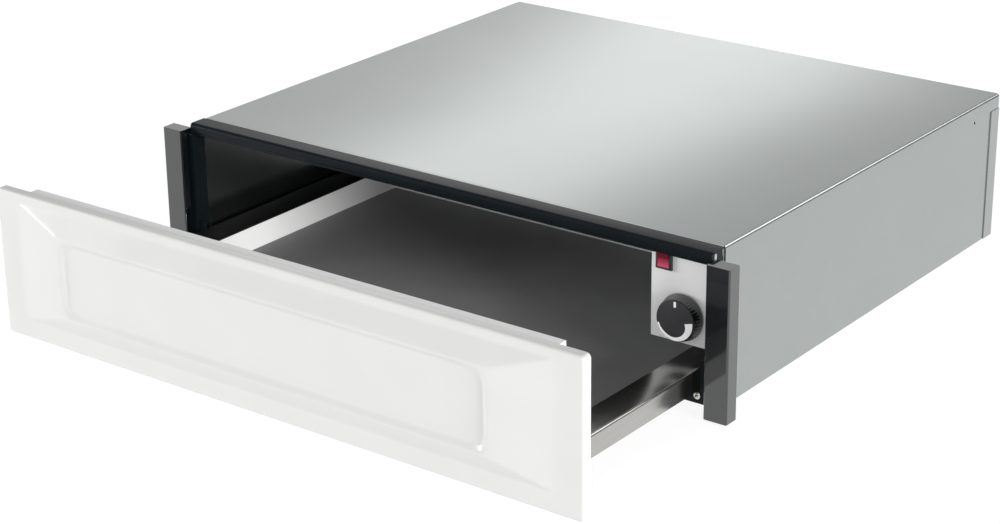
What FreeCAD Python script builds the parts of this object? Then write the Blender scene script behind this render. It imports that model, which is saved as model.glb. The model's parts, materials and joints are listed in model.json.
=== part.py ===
import FreeCAD, Part
import math
import os

# Built-in warming drawer: a sheet steel housing with a front frame, and a shallow heated
# drawer on telescopic slides, stored with the drawer partly open.
# Millimetres. X runs to the right seen from the front, Z is up. Depths (Y) in this file are
# measured from the front plane of the two posts towards the rear, with the drawer closed;
# save() opens the drawer and moves the origin to the middle of the underside.

# Housing: its width follows from the front's, see the derived places
body_height = 137.0
housing_depth = 500.0
sheet = 1.0
fold = 12.0
cover_flange = 13.0
rear_flange = 14.0
corner_notch = 2.0
base_setback = 30.0
base_hole_r = 2.5
base_hole_inset_x = 51.0
base_hole_inset_y = 70.0
vent_slot = (4.0, 20.0)
vent_inset = 12.0
vent_pitch = 12.0
vent_count = 12
pilot_hole_r = 1.5
pilot_hole_inset = 48.0
pilot_hole_drop = 3.0

# Collar, the black frame round the opening
collar_setback = 11.0
collar_depth = 18.0
collar_band = 11.3
collar_lip = 4.0
collar_side_depth = 15.0
collar_ear = 18.0
collar_sheet = 1.2
collar_step = (1.6, 3.2)
collar_slot = (3.8, 5.5)
collar_slot_gap = 2.6

# Posts at the two front corners
post_width = 21.5
post_gap = 1.5
post_depth = 14.0
post_wall = 2.0
post_bottom = 3.0
post_top_drop = 5.0
post_edge_r = 1.5
post_boss_r = 4.0
post_screw_inset = 27.0

# Drawer front
front_width = 597.0
front_overhang = 2.5
front_top_drop = 5.0
front_bottom = 2.0
front_sheet = 1.2
front_depth = 8.6
front_gap = 0.5
front_corner_r = 4.0
front_edge_r = 2.4
border_side = 24.3
border_top = 8.0
border_bottom = 17.5
bevel_side = 53.7
bevel_top = 17.5
bevel_bottom = 15.5
bulge = 9.0
bulge_edge_r = 3.0
field_corner_r = 16.0
field_recess = 3.0
field_run = 7.0
liner_sheet = 1.0
liner_post_gap = 5.0
liner_flange_gap = 0.1
liner_top_gap = 1.5
liner_bottom = 8.0
liner_gap = 0.6

# Drawer tray and mat
tray_sheet = 0.8
tray_bottom = 12.2
tray_wall_gap = 8.5
tray_side_height = 25.8
ledge_width = 27.5
skirt_height = 18.0
mat_thick = 2.0
mat_gap = 0.3
mat_corner_r = 4.0
rest_open = 185.0

# Telescopic slides and their supports
slide_sheet = 1.2
slide_room = 5.8
slide_drop = 0.6
slide_thick = 12.7
slide_short = 9.6
slide_run_gap = 0.35
slide_web_gap = 1.3
slide_stagger = 1.5
slide_front_gap = 1.6
support_sheet = 1.5
support_bottom = 8.0
support_wall_height = 32.0
support_overrun = 8.0
support_gap = 0.2
bracket_front = 12.9
bracket_width = 24.8
bracket_height = 37.0
bracket_screw_x = 9.3
bracket_screw_z = 7.0
skirt_clearance = 0.8

# Controls
plate_front = 24.0
plate_sheet = 1.2
plate_width = 61.0
plate_wall_gap = 0.5
plate_roof_gap = 0.2
plate_tray_gap = 12.0
box_depth = 70.0
box_sheet = 0.8
knob_radius = 20.0
knob_face_r = 17.4
knob_length = 10.2
knob_rear_gap = 2.5
knob_wall = 2.5
knob_hub_r = 6.0
knob_edge_r = 0.9
knob_rise = 23.2
mark_thick = 0.3
mark_bar = 2.2
mark_growth = ((-164.0, 1.3), (-127.0, 2.2), (-81.0, 3.0), (-40.0, 4.7), (-2.0, 7.3))
mark_end = 6.0
shaft_r = 3.0
running_gap = 0.05
shaft_seat = 20.0
bush_r = 4.75
nut_flats = 14.0
nut_thick = 1.8
thermostat_size = (34.0, 30.0, 38.0)
switch_offset = 18.0
switch_top_gap = 5.0
bezel_size = (15.0, 2.2, 21.0)
bezel_edge_r = 0.6
switch_body_depth = 20.0
switch_wall = 1.0
rocker_half = 7.4
rocker_gap = 0.3
rocker_throw = 12.0
rocker_rise = 5.5
rocker_dip = 3.8
rocker_pin_r = 1.2
rocker_pin_wall = 0.5
pivot_setback = 1.0

# Sensor of the thermostat
bulb_r = 3.0
bulb_start = 260.0
bulb_length = 80.0
bulb_drop = 6.0
capillary_r = 0.8
capillary_drop = 3.5
capillary_run = 55.0
clip_width = 5.0

# Rear chamber: fan, heater and terminals
baffle_sheet = 1.2
wheel_hub_r = 8.0
wheel_hub_length = 8.0
wheel_hub_proud = 2.0
wheel_sheet = 1.2
wheel_ring = 6.0
wheel_length = 14.0
wheel_gap = 4.0
blade_count = 24
blade_thick = 0.8
blade_lean = 28.0
motor_gap = 6.0
motor_rear_gap = 8.8
grille_hole_r = 3.0
grille_pitch = 9.0
outlet_slot = (4.0, 60.0)
outlet_pitch = 12.0
outlet_count = 6
stator_size = (54.0, 12.0, 59.0)
stator_drop = 5.0
stator_limb = 7.0
stator_window = 7.0
rotor_r = 11.5
rotor_gap = 0.5
fan_shaft_r = 2.0
coil_size = (28.0, 20.0, 18.0)
coil_under = 4.5
coil_window_gap = 2.0
bridge_sheet = 2.0
pillar_r = 3.0
heater_r = 3.25
heater_floor_gap = 16.5
heater_wheel_gap = 12.0
heater_open_deg = 12.0
heater_bend_r = 9.0
cutout_r = 8.0
cutout_length = 8.0
terminal_size = (44.0, 20.0, 18.0)
terminal_lift = 1.0
terminal_well = (3.2, 6.0)
terminal_head = (2.6, 3.0)
terminal_pitch = 13.0
terminal_gland_gap = 40.0
gland_wall_gap = 41.0
gland_z = 26.0
gland_bore_r = 4.0
gland_wall = 2.5
gland_flange_r = 10.0
gland_flange = 3.0

# Push-to-open latch at the rear of the tray
latch_width = 28.0
latch_height = 20.0
latch_bottom = 15.0
latch_tray_gap = 6.0
latch_end_wall = 2.0
plunger_r = 4.0
plunger_travel = 4.0
plunger_length = 13.0
plunger_gap = 0.5
plunger_end_gap = 0.5
plunger_edge_r = 1.0

# Screws
screw_r = 1.4
screw_head_r = 3.0
screw_head = 1.8
screw_clear = 0.3
screw_length = 9.0

# Derived places across the front
front_half = front_width / 2
post_out = front_half - front_overhang
post_in = post_out - post_width
half_body = post_in - post_gap
wall_out = half_body - sheet
wall_in = wall_out - sheet
roof = body_height - sheet
rear_in = housing_depth - 2 * sheet
collar_bottom = body_height - collar_band
post_top = body_height - post_top_drop
collar_in = wall_out - collar_sheet
front_face = -front_gap - front_depth
front_top = body_height - front_top_drop
liner_half = post_in - liner_post_gap
liner_top = front_top - liner_top_gap
liner_back = collar_setback - liner_gap
tray_out = wall_in - tray_wall_gap
tray_in = tray_out - ledge_width
tray_side_out = tray_in + tray_sheet
tray_top = tray_bottom + tray_side_height
skirt_bottom = tray_top - skirt_height

# Derived depths, from the rear panel forward
stator_back = rear_in - motor_rear_gap
stator_front = stator_back - stator_size[1]
wheel_front = stator_front - motor_gap - wheel_length
baffle_back = wheel_front - wheel_gap
baffle_depth = baffle_back - baffle_sheet
plunger_room = plunger_gap + plunger_length + plunger_travel + plunger_end_gap
tray_rear = baffle_depth - latch_end_wall - plunger_room
tray_length = tray_rear - liner_back

# Derived places of the slides, controls, fan and cable
slide_height = tray_side_height - slide_room
slide_length = tray_length - slide_short
support_length = slide_length + support_overrun
slide_z = (tray_bottom + tray_top) / 2 - slide_drop
slide_in = tray_side_out
slide_out = slide_in + slide_thick
support_front = bracket_front + support_sheet
bracket_in = collar_in - bracket_width
bracket_step = skirt_bottom - skirt_clearance - support_bottom
plate_right = wall_in - plate_wall_gap
plate_left = plate_right - plate_width
plate_back = plate_front + plate_sheet
plate_bottom = tray_top + plate_tray_gap
plate_top = roof - sheet - plate_roof_gap
knob_x = (plate_left + plate_right) / 2
knob_rear = plate_front - knob_rear_gap
knob_front = knob_rear - knob_length
switch_x = knob_x - switch_offset
switch_z = plate_top - switch_top_gap - bezel_size[2] / 2
knob_centre_z = plate_bottom + knob_rise
pivot_y = plate_front + pivot_setback
fan_z = body_height / 2
heater_ring_r = fan_z - heater_floor_gap
wheel_r = heater_ring_r - heater_wheel_gap
stator_bottom = fan_z - stator_drop - stator_size[2] / 2
gland_x = gland_wall_gap - wall_in
terminal_x = gland_x + terminal_gland_gap


def box(x, y, z):
    """A box from three (low, high) pairs."""
    corner = FreeCAD.Vector(x[0], y[0], z[0])
    return Part.makeBox(x[1] - x[0], y[1] - y[0], z[1] - z[0], corner)


def rod(r, y, x, z):
    """A cylinder along Y between two depths."""
    return Part.makeCylinder(r, y[1] - y[0], FreeCAD.Vector(x, y[0], z), FreeCAD.Vector(0, 1, 0))


def prism(points, axis, start, length):
    """A polygon in the plane across an axis, pushed along that axis."""
    if axis == "y":
        corners = [FreeCAD.Vector(a, start, b) for a, b in points]
        push = FreeCAD.Vector(0, length, 0)
    else:
        corners = [FreeCAD.Vector(start, a, b) for a, b in points]
        push = FreeCAD.Vector(length, 0, 0)
    wire = Part.makePolygon(corners + corners[:1])
    return Part.Face(wire).extrude(push)


def join(shapes):
    return shapes[0].fuse(shapes[1:]).removeSplitter()


def mirrored(shape):
    return shape.mirror(FreeCAD.Vector(0, 0, 0), FreeCAD.Vector(1, 0, 0))


def edges_where(shape, test):
    return [edge for edge in shape.Edges if test(edge)]


def edge_along(edge, axis):
    """True for a straight edge along one axis (0, 1 or 2)."""
    if len(edge.Vertexes) != 2:
        return False
    step = edge.Vertexes[1].Point - edge.Vertexes[0].Point
    across = [abs(step[i]) for i in range(3) if i != axis]
    return max(across) < 0.001 and abs(step[axis]) > 0.001


def save(name, shape, opened=0.0):
    placed = shape.copy()
    placed.translate(FreeCAD.Vector(0, -housing_depth / 2 - opened, 0))
    placed.exportStep(f"parts/{name}.step")
    print(f"{name}: {len(placed.Solids)} solid, {placed.Volume / 1000:.1f} cm3, valid {placed.isValid()}")


def save_pair(name, shape, opened=0.0):
    save(f"{name}_right", shape, opened)
    save(f"{name}_left", mirrored(shape), opened)


def screw(x, z, y, length, inward=1):
    """A pan-head screw along Y: its head stands in front of depth y, or behind it if inward is -1."""
    head = rod(screw_head_r, sorted((y - inward * screw_head, y)), x, z)
    shank = rod(screw_r, sorted((y, y + inward * length)), x, z)
    return head.fuse(shank).removeSplitter()


# Housing shell
def base_plate():
    plate = box((-wall_in, wall_in), (base_setback, rear_in), (0, sheet))
    lip = box((-wall_in + fold, wall_in - fold), (base_setback, base_setback + sheet), (sheet, fold / 2))
    plate = join([plate, lip])
    hole_x = wall_in - base_hole_inset_x
    for x in (-hole_x, hole_x):
        for y in (base_hole_inset_y, housing_depth - base_hole_inset_y):
            at = FreeCAD.Vector(x, y, 0)
            plate = plate.cut(Part.makeCylinder(base_hole_r, sheet, at))
    for i in range(vent_count):
        x = (i - (vent_count - 1) / 2) * vent_pitch
        slot_y = (rear_in - vent_inset - vent_slot[1], rear_in - vent_inset)
        slot = box((x - vent_slot[0] / 2, x + vent_slot[0] / 2), slot_y, (0, sheet))
        plate = plate.cut(slot)
    return plate


def side_panel():
    start = collar_setback + collar_side_depth
    inner = wall_in - fold
    top = roof - sheet
    wall = box((wall_in, wall_out), (start, rear_in), (0, roof))
    bottom = box((inner, wall_in), (base_setback + sheet, rear_in), (sheet, 2 * sheet))
    upper = box((inner, wall_in), (collar_setback + collar_depth, rear_in), (top, roof))
    rear = box((inner, wall_in), (rear_in - sheet, rear_in), (sheet, roof))
    panel = join([wall, bottom, upper, rear])
    corner_y = (start - 1, collar_setback + collar_depth)
    panel = panel.cut(box((wall_in - 1, wall_out + 1), corner_y, (collar_bottom, roof + 1)))
    hole_z = body_height - cover_flange - pilot_hole_drop
    hole_at = FreeCAD.Vector(wall_in - 1, housing_depth - pilot_hole_inset, hole_z)
    panel = panel.cut(Part.makeCylinder(pilot_hole_r, 3 * sheet, hole_at, FreeCAD.Vector(1, 0, 0)))
    for z in rear_screw_heights():
        panel = panel.cut(rod(screw_r, (rear_in - sheet, rear_in), wall_in - fold / 2, z))
    return panel


def rear_screw_heights():
    low = 3 * fold
    high = roof - 2 * fold
    return (low, (low + high) / 2, high)


def top_cover():
    start = collar_setback + collar_depth
    flange_z = (body_height - cover_flange, roof)
    plate = box((-half_body, half_body), (start, housing_depth), (roof, body_height))
    sides = box((wall_out, half_body), (start, housing_depth), flange_z)
    rear = box((-wall_out, wall_out), (housing_depth - sheet, housing_depth), flange_z)
    cover = join([plate, sides, mirrored(sides), rear])
    notch_x = (half_body - corner_notch, half_body + 1)
    notch = box(notch_x, (start - 1, start + corner_notch), (roof - corner_notch, body_height + 1))
    cover = cover.cut(notch.fuse(mirrored(notch)))
    for x in cover_screw_places():
        cover = cover.cut(rod(screw_r, (rear_in, housing_depth), x, body_height - cover_flange / 2))
    return cover


def cover_screw_places():
    reach = wall_in - 3 * fold
    return (-reach, 0, reach)


def rear_panel():
    low_z = (0, body_height - cover_flange - 0.5)
    plate = box((-wall_out, wall_out), (rear_in, rear_in + sheet), (0, roof))
    wing = box((wall_out, half_body), (rear_in - rear_flange, rear_in + sheet), low_z)
    panel = join([plate, wing, mirrored(wing)])
    for side in (-1, 1):
        for z in rear_screw_heights():
            panel = panel.cut(rod(screw_r, (rear_in, rear_in + sheet), side * (wall_in - fold / 2), z))
    for x in cover_screw_places():
        panel = panel.cut(rod(screw_r, (rear_in, rear_in + sheet), x, body_height - cover_flange / 2))
    panel = panel.cut(rod(gland_bore_r + gland_wall, (rear_in, rear_in + sheet), gland_x, gland_z))
    return panel


def collar_top():
    y0 = collar_setback
    inner = y0 + collar_sheet
    end_x = (half_body - collar_sheet, half_body)
    step, rise = collar_step
    fold = collar_bottom + rise
    front = box((-half_body, half_body), (y0, inner), (fold, body_height))
    tread = box((-half_body, half_body), (y0, inner + step), (fold, fold + collar_sheet))
    edge = box((-half_body, half_body), (y0 + step, inner + step), (collar_bottom, fold))
    top = box((-half_body, half_body), (inner, y0 + collar_depth), (body_height - collar_sheet, body_height))
    low_z = (collar_bottom, collar_bottom + collar_sheet)
    lip = box((-end_x[0], end_x[0]), (inner + step, y0 + collar_lip), low_z)
    end = box(end_x, (inner + step, y0 + collar_side_depth), (collar_bottom, body_height - collar_sheet))
    end = end.fuse(box(end_x, (inner, inner + step), (fold, body_height - collar_sheet)))
    slot_y = (inner + collar_slot_gap, inner + collar_slot_gap + collar_slot[0])
    slot_top = body_height - 1.5 * collar_sheet
    slot = box((end_x[0] - 1, half_body + 1), slot_y, (slot_top - collar_slot[1], slot_top))
    end = end.cut(slot)
    return join([front, tread, edge, top, lip, end, mirrored(end)])


def collar_side():
    y0 = collar_setback
    wall = box((collar_in, wall_out), (y0, y0 + collar_side_depth), (post_bottom, collar_bottom))
    ear = box((wall_out, wall_out + collar_ear), (y0, y0 + collar_sheet), (post_bottom, collar_bottom))
    side = join([wall, ear])
    for x, z in post_screw_places():
        side = side.cut(rod(screw_r + screw_clear, (y0, y0 + collar_sheet), x, z))
    return side


# Posts
def post_screw_places():
    x = (post_in + post_wall + wall_out + collar_ear) / 2
    return ((x, post_bottom + post_screw_inset), (x, collar_bottom - post_screw_inset))


def post():
    ear_y = collar_setback
    solid = box((post_in, post_out), (0, post_depth), (post_bottom, post_top))
    upright = edges_where(solid, lambda e: edge_along(e, 2) and e.Vertexes[0].Point.y < 0.001)
    solid = solid.makeFillet(post_edge_r, upright)
    hollow_x = (post_in + post_wall, post_out - post_wall)
    hollow_z = (post_bottom + post_wall, post_top - post_wall)
    shell = solid.cut(box(hollow_x, (post_wall, post_depth), hollow_z))
    relief = box((post_in - 1, hollow_x[0]), (ear_y, post_depth + 1), (post_bottom, collar_bottom))
    floor = box((post_in - 1, wall_out + collar_ear + 1), (ear_y, post_depth + 1), (post_bottom, hollow_z[0]))
    shell = shell.cut(relief.fuse(floor))
    for x, z in post_screw_places():
        boss = rod(post_boss_r, (post_wall, ear_y), x, z)
        shell = shell.fuse(boss)
        shell = shell.cut(rod(screw_r, (ear_y - screw_length + collar_sheet, ear_y), x, z))
    return shell.removeSplitter()


# Telescopic slides: each member is a C profile, nested in the next
def c_profile(x, z_half, flange_end, y):
    """Web between the two x values, flanges running from the web to flange_end."""
    flange_x = sorted((x[0] if flange_end < x[0] else x[1], flange_end))
    web = box(x, y, (slide_z - z_half, slide_z + z_half))
    top = box(flange_x, y, (slide_z + z_half - slide_sheet, slide_z + z_half))
    bottom = box(flange_x, y, (slide_z - z_half, slide_z - z_half + slide_sheet))
    return join([web, top, bottom])


def slide_members():
    start = support_front + slide_front_gap
    step = slide_sheet + slide_run_gap
    outer_half = slide_height / 2
    outer_web = (slide_out - slide_sheet, slide_out)
    outer_end = slide_in + 2 * slide_web_gap + slide_sheet
    outer = c_profile(outer_web, outer_half, outer_end, (start, start + slide_length))
    middle_x = outer_web[0] - slide_web_gap
    middle_web = (middle_x - slide_sheet, middle_x)
    middle_end = slide_in + slide_sheet + slide_web_gap
    middle_start = start - slide_stagger
    middle = c_profile(middle_web, outer_half - step, middle_end, (middle_start, middle_start + slide_length))
    inner_web = (slide_in, slide_in + slide_sheet)
    inner_start = start - 2 * slide_stagger
    inner_y = (inner_start, inner_start + slide_length)
    inner = c_profile(inner_web, outer_half - 2 * step, middle_web[0] - slide_web_gap, inner_y)
    return outer, middle, inner


def slide_support():
    y0 = support_front
    y1 = y0 + support_length
    s = support_sheet
    z0 = support_bottom
    leg = box((slide_out, slide_out + s), (y0, y1), (z0, slide_z + slide_height / 2))
    shelf = box((slide_out + s, collar_in - support_gap), (y0, y1), (z0, z0 + s))
    behind = collar_setback + collar_side_depth + support_gap
    wall = box((wall_in - s, wall_in), (behind, y1), (z0, z0 + support_wall_height))
    tab = box((slide_out + s, wall_in - s), (y0, y0 + s), (z0 + s, z0 + bracket_step))
    support = join([leg, shelf, wall, tab])
    x, z = bracket_screw_place()
    return support.cut(rod(screw_r, (y0, y0 + s), x, z))


def bracket_screw_place():
    return collar_in - bracket_screw_x, support_bottom + bracket_screw_z


def corner_bracket():
    step_x = tray_out + skirt_clearance
    low = support_bottom
    top = low + bracket_step
    points = [(bracket_in, low), (collar_in, low), (collar_in, low + bracket_height)]
    points += [(step_x, low + bracket_height), (step_x, top), (bracket_in, top)]
    bracket = prism(points, "y", bracket_front, support_sheet)
    x, z = bracket_screw_place()
    return bracket.cut(rod(screw_r + screw_clear, (bracket_front, support_front), x, z))


# Drawer
def rounded_plate(half_x, z, y, r):
    block = box((-half_x, half_x), y, z)
    corners = edges_where(block, lambda e: edge_along(e, 1))
    return block.makeFillet(r, corners)


def rounded_outline(half_x, z, y, r):
    block = rounded_plate(half_x, z, (y, y + 1), r)
    return min(block.Faces, key=lambda face: face.CenterOfMass.y).OuterWire


def rectangle(half_x, z, y):
    corners = [(-half_x, z[0]), (half_x, z[0]), (half_x, z[1]), (-half_x, z[1])]
    points = [FreeCAD.Vector(a, y, b) for a, b in corners]
    return Part.makePolygon(points + points[:1])


def bulge_block(inset, back):
    """The raised middle of the front, inset and set back for the inside of the pressing."""
    foot_half = front_half - border_side - inset
    foot_z = (front_bottom + border_bottom + inset, front_top - border_top - inset)
    top_half = foot_half - bevel_side
    top_z = (foot_z[0] + bevel_bottom, foot_z[1] - bevel_top)
    foot = rectangle(foot_half, foot_z, front_face + back)
    top = rectangle(top_half, top_z, front_face + back - bulge)
    return Part.makeLoft([foot, top], True, True)


def field_pocket(top_y, wall=0.0):
    """The sunken field, its walls sloping in from the crest of the bulge; grown by the wall for its back."""
    half = front_half - border_side - bevel_side
    low = front_bottom + border_bottom + bevel_bottom
    high = front_top - border_top - bevel_top
    lead = field_run / field_recess
    outlines = []
    for y, grow in ((top_y - 1, lead + wall), (top_y + field_recess + wall, wall - field_run)):
        outlines.append(rounded_outline(half + grow, (low - grow, high + grow), y, field_corner_r + grow))
    return Part.makeLoft(outlines, True, True)


def front_panel():
    plate = rounded_plate(front_half, (front_bottom, front_top), (front_face, -front_gap), front_corner_r)
    rim = edges_where(plate, lambda e: max(v.Point.y for v in e.Vertexes) < front_face + 0.001)
    plate = plate.makeFillet(front_edge_r, rim)
    solid = plate.fuse(bulge_block(0, 0)).removeSplitter()
    top_y = front_face - bulge
    crest = edges_where(solid, lambda e: max(v.Point.y for v in e.Vertexes) < top_y + 0.001)
    solid = solid.makeFillet(bulge_edge_r, crest)
    solid = solid.cut(field_pocket(top_y))
    inside_z = (front_bottom + front_sheet, front_top - front_sheet)
    inside_half = front_half - front_sheet
    inside = box((-inside_half, inside_half), (front_face + front_sheet, 0), inside_z)
    hollow = bulge_block(2 * front_sheet, front_sheet).cut(field_pocket(top_y, front_sheet))
    return solid.cut(inside.fuse(hollow))


def front_liner():
    edge = front_sheet + liner_flange_gap
    flange_half = front_half - edge
    flange_z = (front_bottom + edge, front_top - edge)
    flange_y = (-front_gap - liner_sheet, -front_gap)
    flange = box((-flange_half, flange_half), flange_y, flange_z)
    hat = box((-liner_half, liner_half), (-front_gap, liner_back), (liner_bottom, liner_top))
    inner_half = liner_half - liner_sheet
    inner_z = (liner_bottom + liner_sheet, liner_top - liner_sheet)
    inner = box((-inner_half, inner_half), (flange_y[0], liner_back - liner_sheet), inner_z)
    liner = join([flange, hat]).cut(inner)
    for x, z in front_screw_places():
        liner = liner.cut(rod(screw_r, (liner_back - liner_sheet, liner_back), x, z))
    return liner


def front_screw_places():
    z = slide_z + 3
    return [(x * tray_in, z) for x in (-0.85, -0.35, 0.35, 0.85)]


def drawer_tray():
    s = tray_sheet
    y0 = liner_back
    run = (y0, tray_rear)
    floor = box((-tray_side_out, tray_side_out), run, (tray_bottom, tray_bottom + s))
    side = box((tray_in, tray_side_out), run, (tray_bottom, tray_top))
    ledge = box((tray_in, tray_out), run, (tray_top - s, tray_top))
    skirt = box((tray_out - s, tray_out), run, (skirt_bottom, tray_top))
    rear = box((-tray_in, tray_in), (tray_rear - s, tray_rear), (tray_bottom, tray_top))
    front = box((-tray_in, tray_in), (y0, y0 + s), (tray_bottom, tray_top))
    cheek = box((tray_in, tray_out), (y0, y0 + s), (skirt_bottom, tray_top))
    right = join([side, ledge, skirt, cheek])
    tray = join([floor, right, mirrored(right), rear, front])
    for x, z in front_screw_places():
        tray = tray.cut(rod(screw_r + screw_clear, (y0, y0 + s), x, z))
    return tray


def drawer_mat():
    half = tray_in - mat_gap
    y = (liner_back + tray_sheet + mat_gap, tray_rear - tray_sheet - mat_gap)
    z0 = tray_bottom + tray_sheet
    sheet_of_mat = box((-half, half), y, (z0, z0 + mat_thick))
    corners = edges_where(sheet_of_mat, lambda e: edge_along(e, 2))
    return sheet_of_mat.makeFillet(mat_corner_r, corners)


# Controls
def control_plate():
    plate = box((plate_left, plate_right), (plate_front, plate_back), (plate_bottom, plate_top))
    plate = plate.cut(rod(bush_r + running_gap, (plate_front, plate_back), knob_x, knob_centre_z))
    half_w = bezel_size[0] / 2 - switch_wall
    half_h = bezel_size[2] / 2 - switch_wall
    gap = running_gap
    window_x = (switch_x - half_w - gap, switch_x + half_w + gap)
    window_z = (switch_z - half_h - gap, switch_z + half_h + gap)
    return plate.cut(box(window_x, (plate_front, plate_back), window_z))


def control_box():
    s = box_sheet
    y = (plate_back, plate_back + box_depth)
    wall = box((plate_left, plate_left + s), y, (plate_bottom, plate_top))
    floor = box((plate_left, plate_right), y, (plate_bottom, plate_bottom + s))
    rear = box((plate_left, plate_right), (y[1] - s, y[1]), (plate_bottom, plate_top))
    shell = join([wall, floor, rear])
    return shell.cut(rod(3 * capillary_r, (y[1] - s, y[1]), knob_x, capillary_exit_z() + capillary_r / 2))


def capillary_exit_z():
    return knob_centre_z + thermostat_size[2] / 2 - capillary_drop


def thermostat_body():
    w, d, h = thermostat_size
    case_x = (knob_x - w / 2, knob_x + w / 2)
    case = box(case_x, (plate_back, plate_back + d), (knob_centre_z - h / 2, knob_centre_z + h / 2))
    bush = rod(bush_r, (plate_front - nut_thick, plate_back), knob_x, knob_centre_z)
    body = case.fuse(bush)
    bore_y = (plate_front - nut_thick, plate_back + shaft_seat)
    body = body.cut(rod(shaft_r + running_gap, bore_y, knob_x, knob_centre_z))
    return body.removeSplitter()


def thermostat_nut():
    r = nut_flats / 2 / math.cos(math.pi / 6)
    points = []
    for i in range(6):
        a = i * math.pi / 3
        points.append((knob_x + r * math.cos(a), knob_centre_z + r * math.sin(a)))
    nut = prism(points, "y", plate_front - nut_thick, nut_thick)
    return nut.cut(rod(bush_r, (plate_front - nut_thick, plate_front), knob_x, knob_centre_z))


def thermostat_shaft():
    end = plate_back + shaft_seat - 1
    return rod(shaft_r, (knob_front + knob_wall, end), knob_x, knob_centre_z)


def thermostat_knob():
    front = FreeCAD.Vector(knob_x, knob_front, knob_centre_z)
    body = Part.makeCone(knob_face_r, knob_radius, knob_length, front, FreeCAD.Vector(0, 1, 0))
    rim = edges_where(body, lambda e: e.BoundBox.YMax < knob_front + 0.001)
    body = body.makeFillet(knob_edge_r, rim)
    hollow = rod(knob_face_r - knob_wall, (knob_front + knob_wall + 1, knob_rear), knob_x, knob_centre_z)
    hub = rod(knob_hub_r, (knob_front + knob_wall, knob_rear), knob_x, knob_centre_z)
    body = body.cut(hollow).fuse(hub)
    seat = rod(shaft_r, (knob_front + knob_wall, knob_rear), knob_x, knob_centre_z)
    return body.cut(seat).removeSplitter()


def knob_marks():
    """A pointer bar, and a crescent that grows round the lower edge of the knob's face."""
    y = (knob_front - mark_thick, knob_front)
    face_r = knob_face_r - knob_edge_r
    bar_x = (knob_x - mark_bar / 2, knob_x + mark_bar / 2)
    bar = box(bar_x, y, (knob_centre_z + face_r * 0.7, knob_centre_z + face_r * 0.98))

    def at(angle, r):
        a = math.radians(angle)
        return FreeCAD.Vector(knob_x + r * math.cos(a), y[0], knob_centre_z + r * math.sin(a))

    inner = [at(angle, face_r - width) for angle, width in mark_growth]
    start, end = mark_growth[0][0], mark_end
    outer = Part.Arc(at(start, face_r), at((start + end) / 2, face_r), at(end, face_r)).toShape()
    curve = Part.BSplineCurve()
    curve.interpolate(inner)
    sides = [Part.makeLine(at(end, face_r), inner[-1]), Part.makeLine(inner[0], at(start, face_r))]
    wire = Part.Wire([outer, sides[0], curve.toShape(), sides[1]])
    crescent = Part.Face(wire).extrude(FreeCAD.Vector(0, mark_thick, 0))
    return Part.makeCompound([bar, crescent])


def switch_body():
    w, proud, h = bezel_size
    wall = switch_wall
    bezel_y = (plate_front - proud, plate_front)
    case_y = (plate_front, plate_back + switch_body_depth)
    bezel = box((switch_x - w / 2, switch_x + w / 2), bezel_y, (switch_z - h / 2, switch_z + h / 2))
    front_edges = edges_where(bezel, lambda e: max(v.Point.y for v in e.Vertexes) < bezel_y[0] + 0.001)
    bezel = bezel.makeFillet(bezel_edge_r, front_edges)
    case_x = (switch_x - w / 2 + wall, switch_x + w / 2 - wall)
    case = box(case_x, case_y, (switch_z - h / 2 + wall, switch_z + h / 2 - wall))
    body = bezel.fuse(case).removeSplitter()
    half = rocker_window_half()
    well_x = (case_x[0] + wall, case_x[1] - wall)
    well = box(well_x, (bezel_y[0], pivot_y + rocker_dip + 2), (switch_z - half, switch_z + half))
    axle = rocker_axle(case_x[1] - case_x[0] - 2 * rocker_pin_wall, running_gap)
    return body.cut(well).cut(axle)


def rocker_window_half():
    reach = math.hypot(rocker_half, rocker_rise)
    lean = math.atan2(rocker_half, rocker_rise) + math.radians(rocker_throw)
    return reach * math.sin(min(lean, math.pi / 2)) + rocker_gap


def rocker_axle(length, gap):
    at = FreeCAD.Vector(switch_x - length / 2, pivot_y, switch_z)
    return Part.makeCylinder(rocker_pin_r + gap, length, at, FreeCAD.Vector(1, 0, 0))


def switch_rocker():
    half_w = bezel_size[0] / 2 - 2 * switch_wall - rocker_gap
    a = rocker_half
    y_tip = pivot_y - rocker_rise
    y_mid = pivot_y - rocker_rise * 0.6
    y_side = pivot_y - rocker_rise * 0.3
    y_back = pivot_y + rocker_dip * 0.6
    front = [(y_tip, switch_z - a), (y_mid, switch_z), (y_tip, switch_z + a)]
    back = [(y_side, switch_z + a), (y_back, switch_z + a / 2)]
    back += [(y_back, switch_z - a / 2), (y_side, switch_z - a)]
    rocker = prism(front + back, "x", switch_x - half_w, 2 * half_w)
    pins = rocker_axle(bezel_size[0] - 2 * (switch_wall + rocker_pin_wall + running_gap), 0)
    rocker = rocker.fuse(pins).removeSplitter()
    pivot = FreeCAD.Vector(switch_x, pivot_y, switch_z)
    rocker.rotate(pivot, FreeCAD.Vector(1, 0, 0), rocker_throw)
    return rocker


# Thermostat sensor
def bulb_z():
    return roof - bulb_drop


def sensor_bulb():
    return rod(bulb_r, (bulb_start, bulb_start + bulb_length), knob_x, bulb_z())


def bulb_clip():
    y = (bulb_start + bulb_length / 2 - clip_width / 2, bulb_start + bulb_length / 2 + clip_width / 2)
    half = bulb_r + 1.5
    strap = box((knob_x - half, knob_x + half), y, (bulb_z() - half, roof))
    return strap.cut(rod(bulb_r, y, knob_x, bulb_z()))


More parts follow.
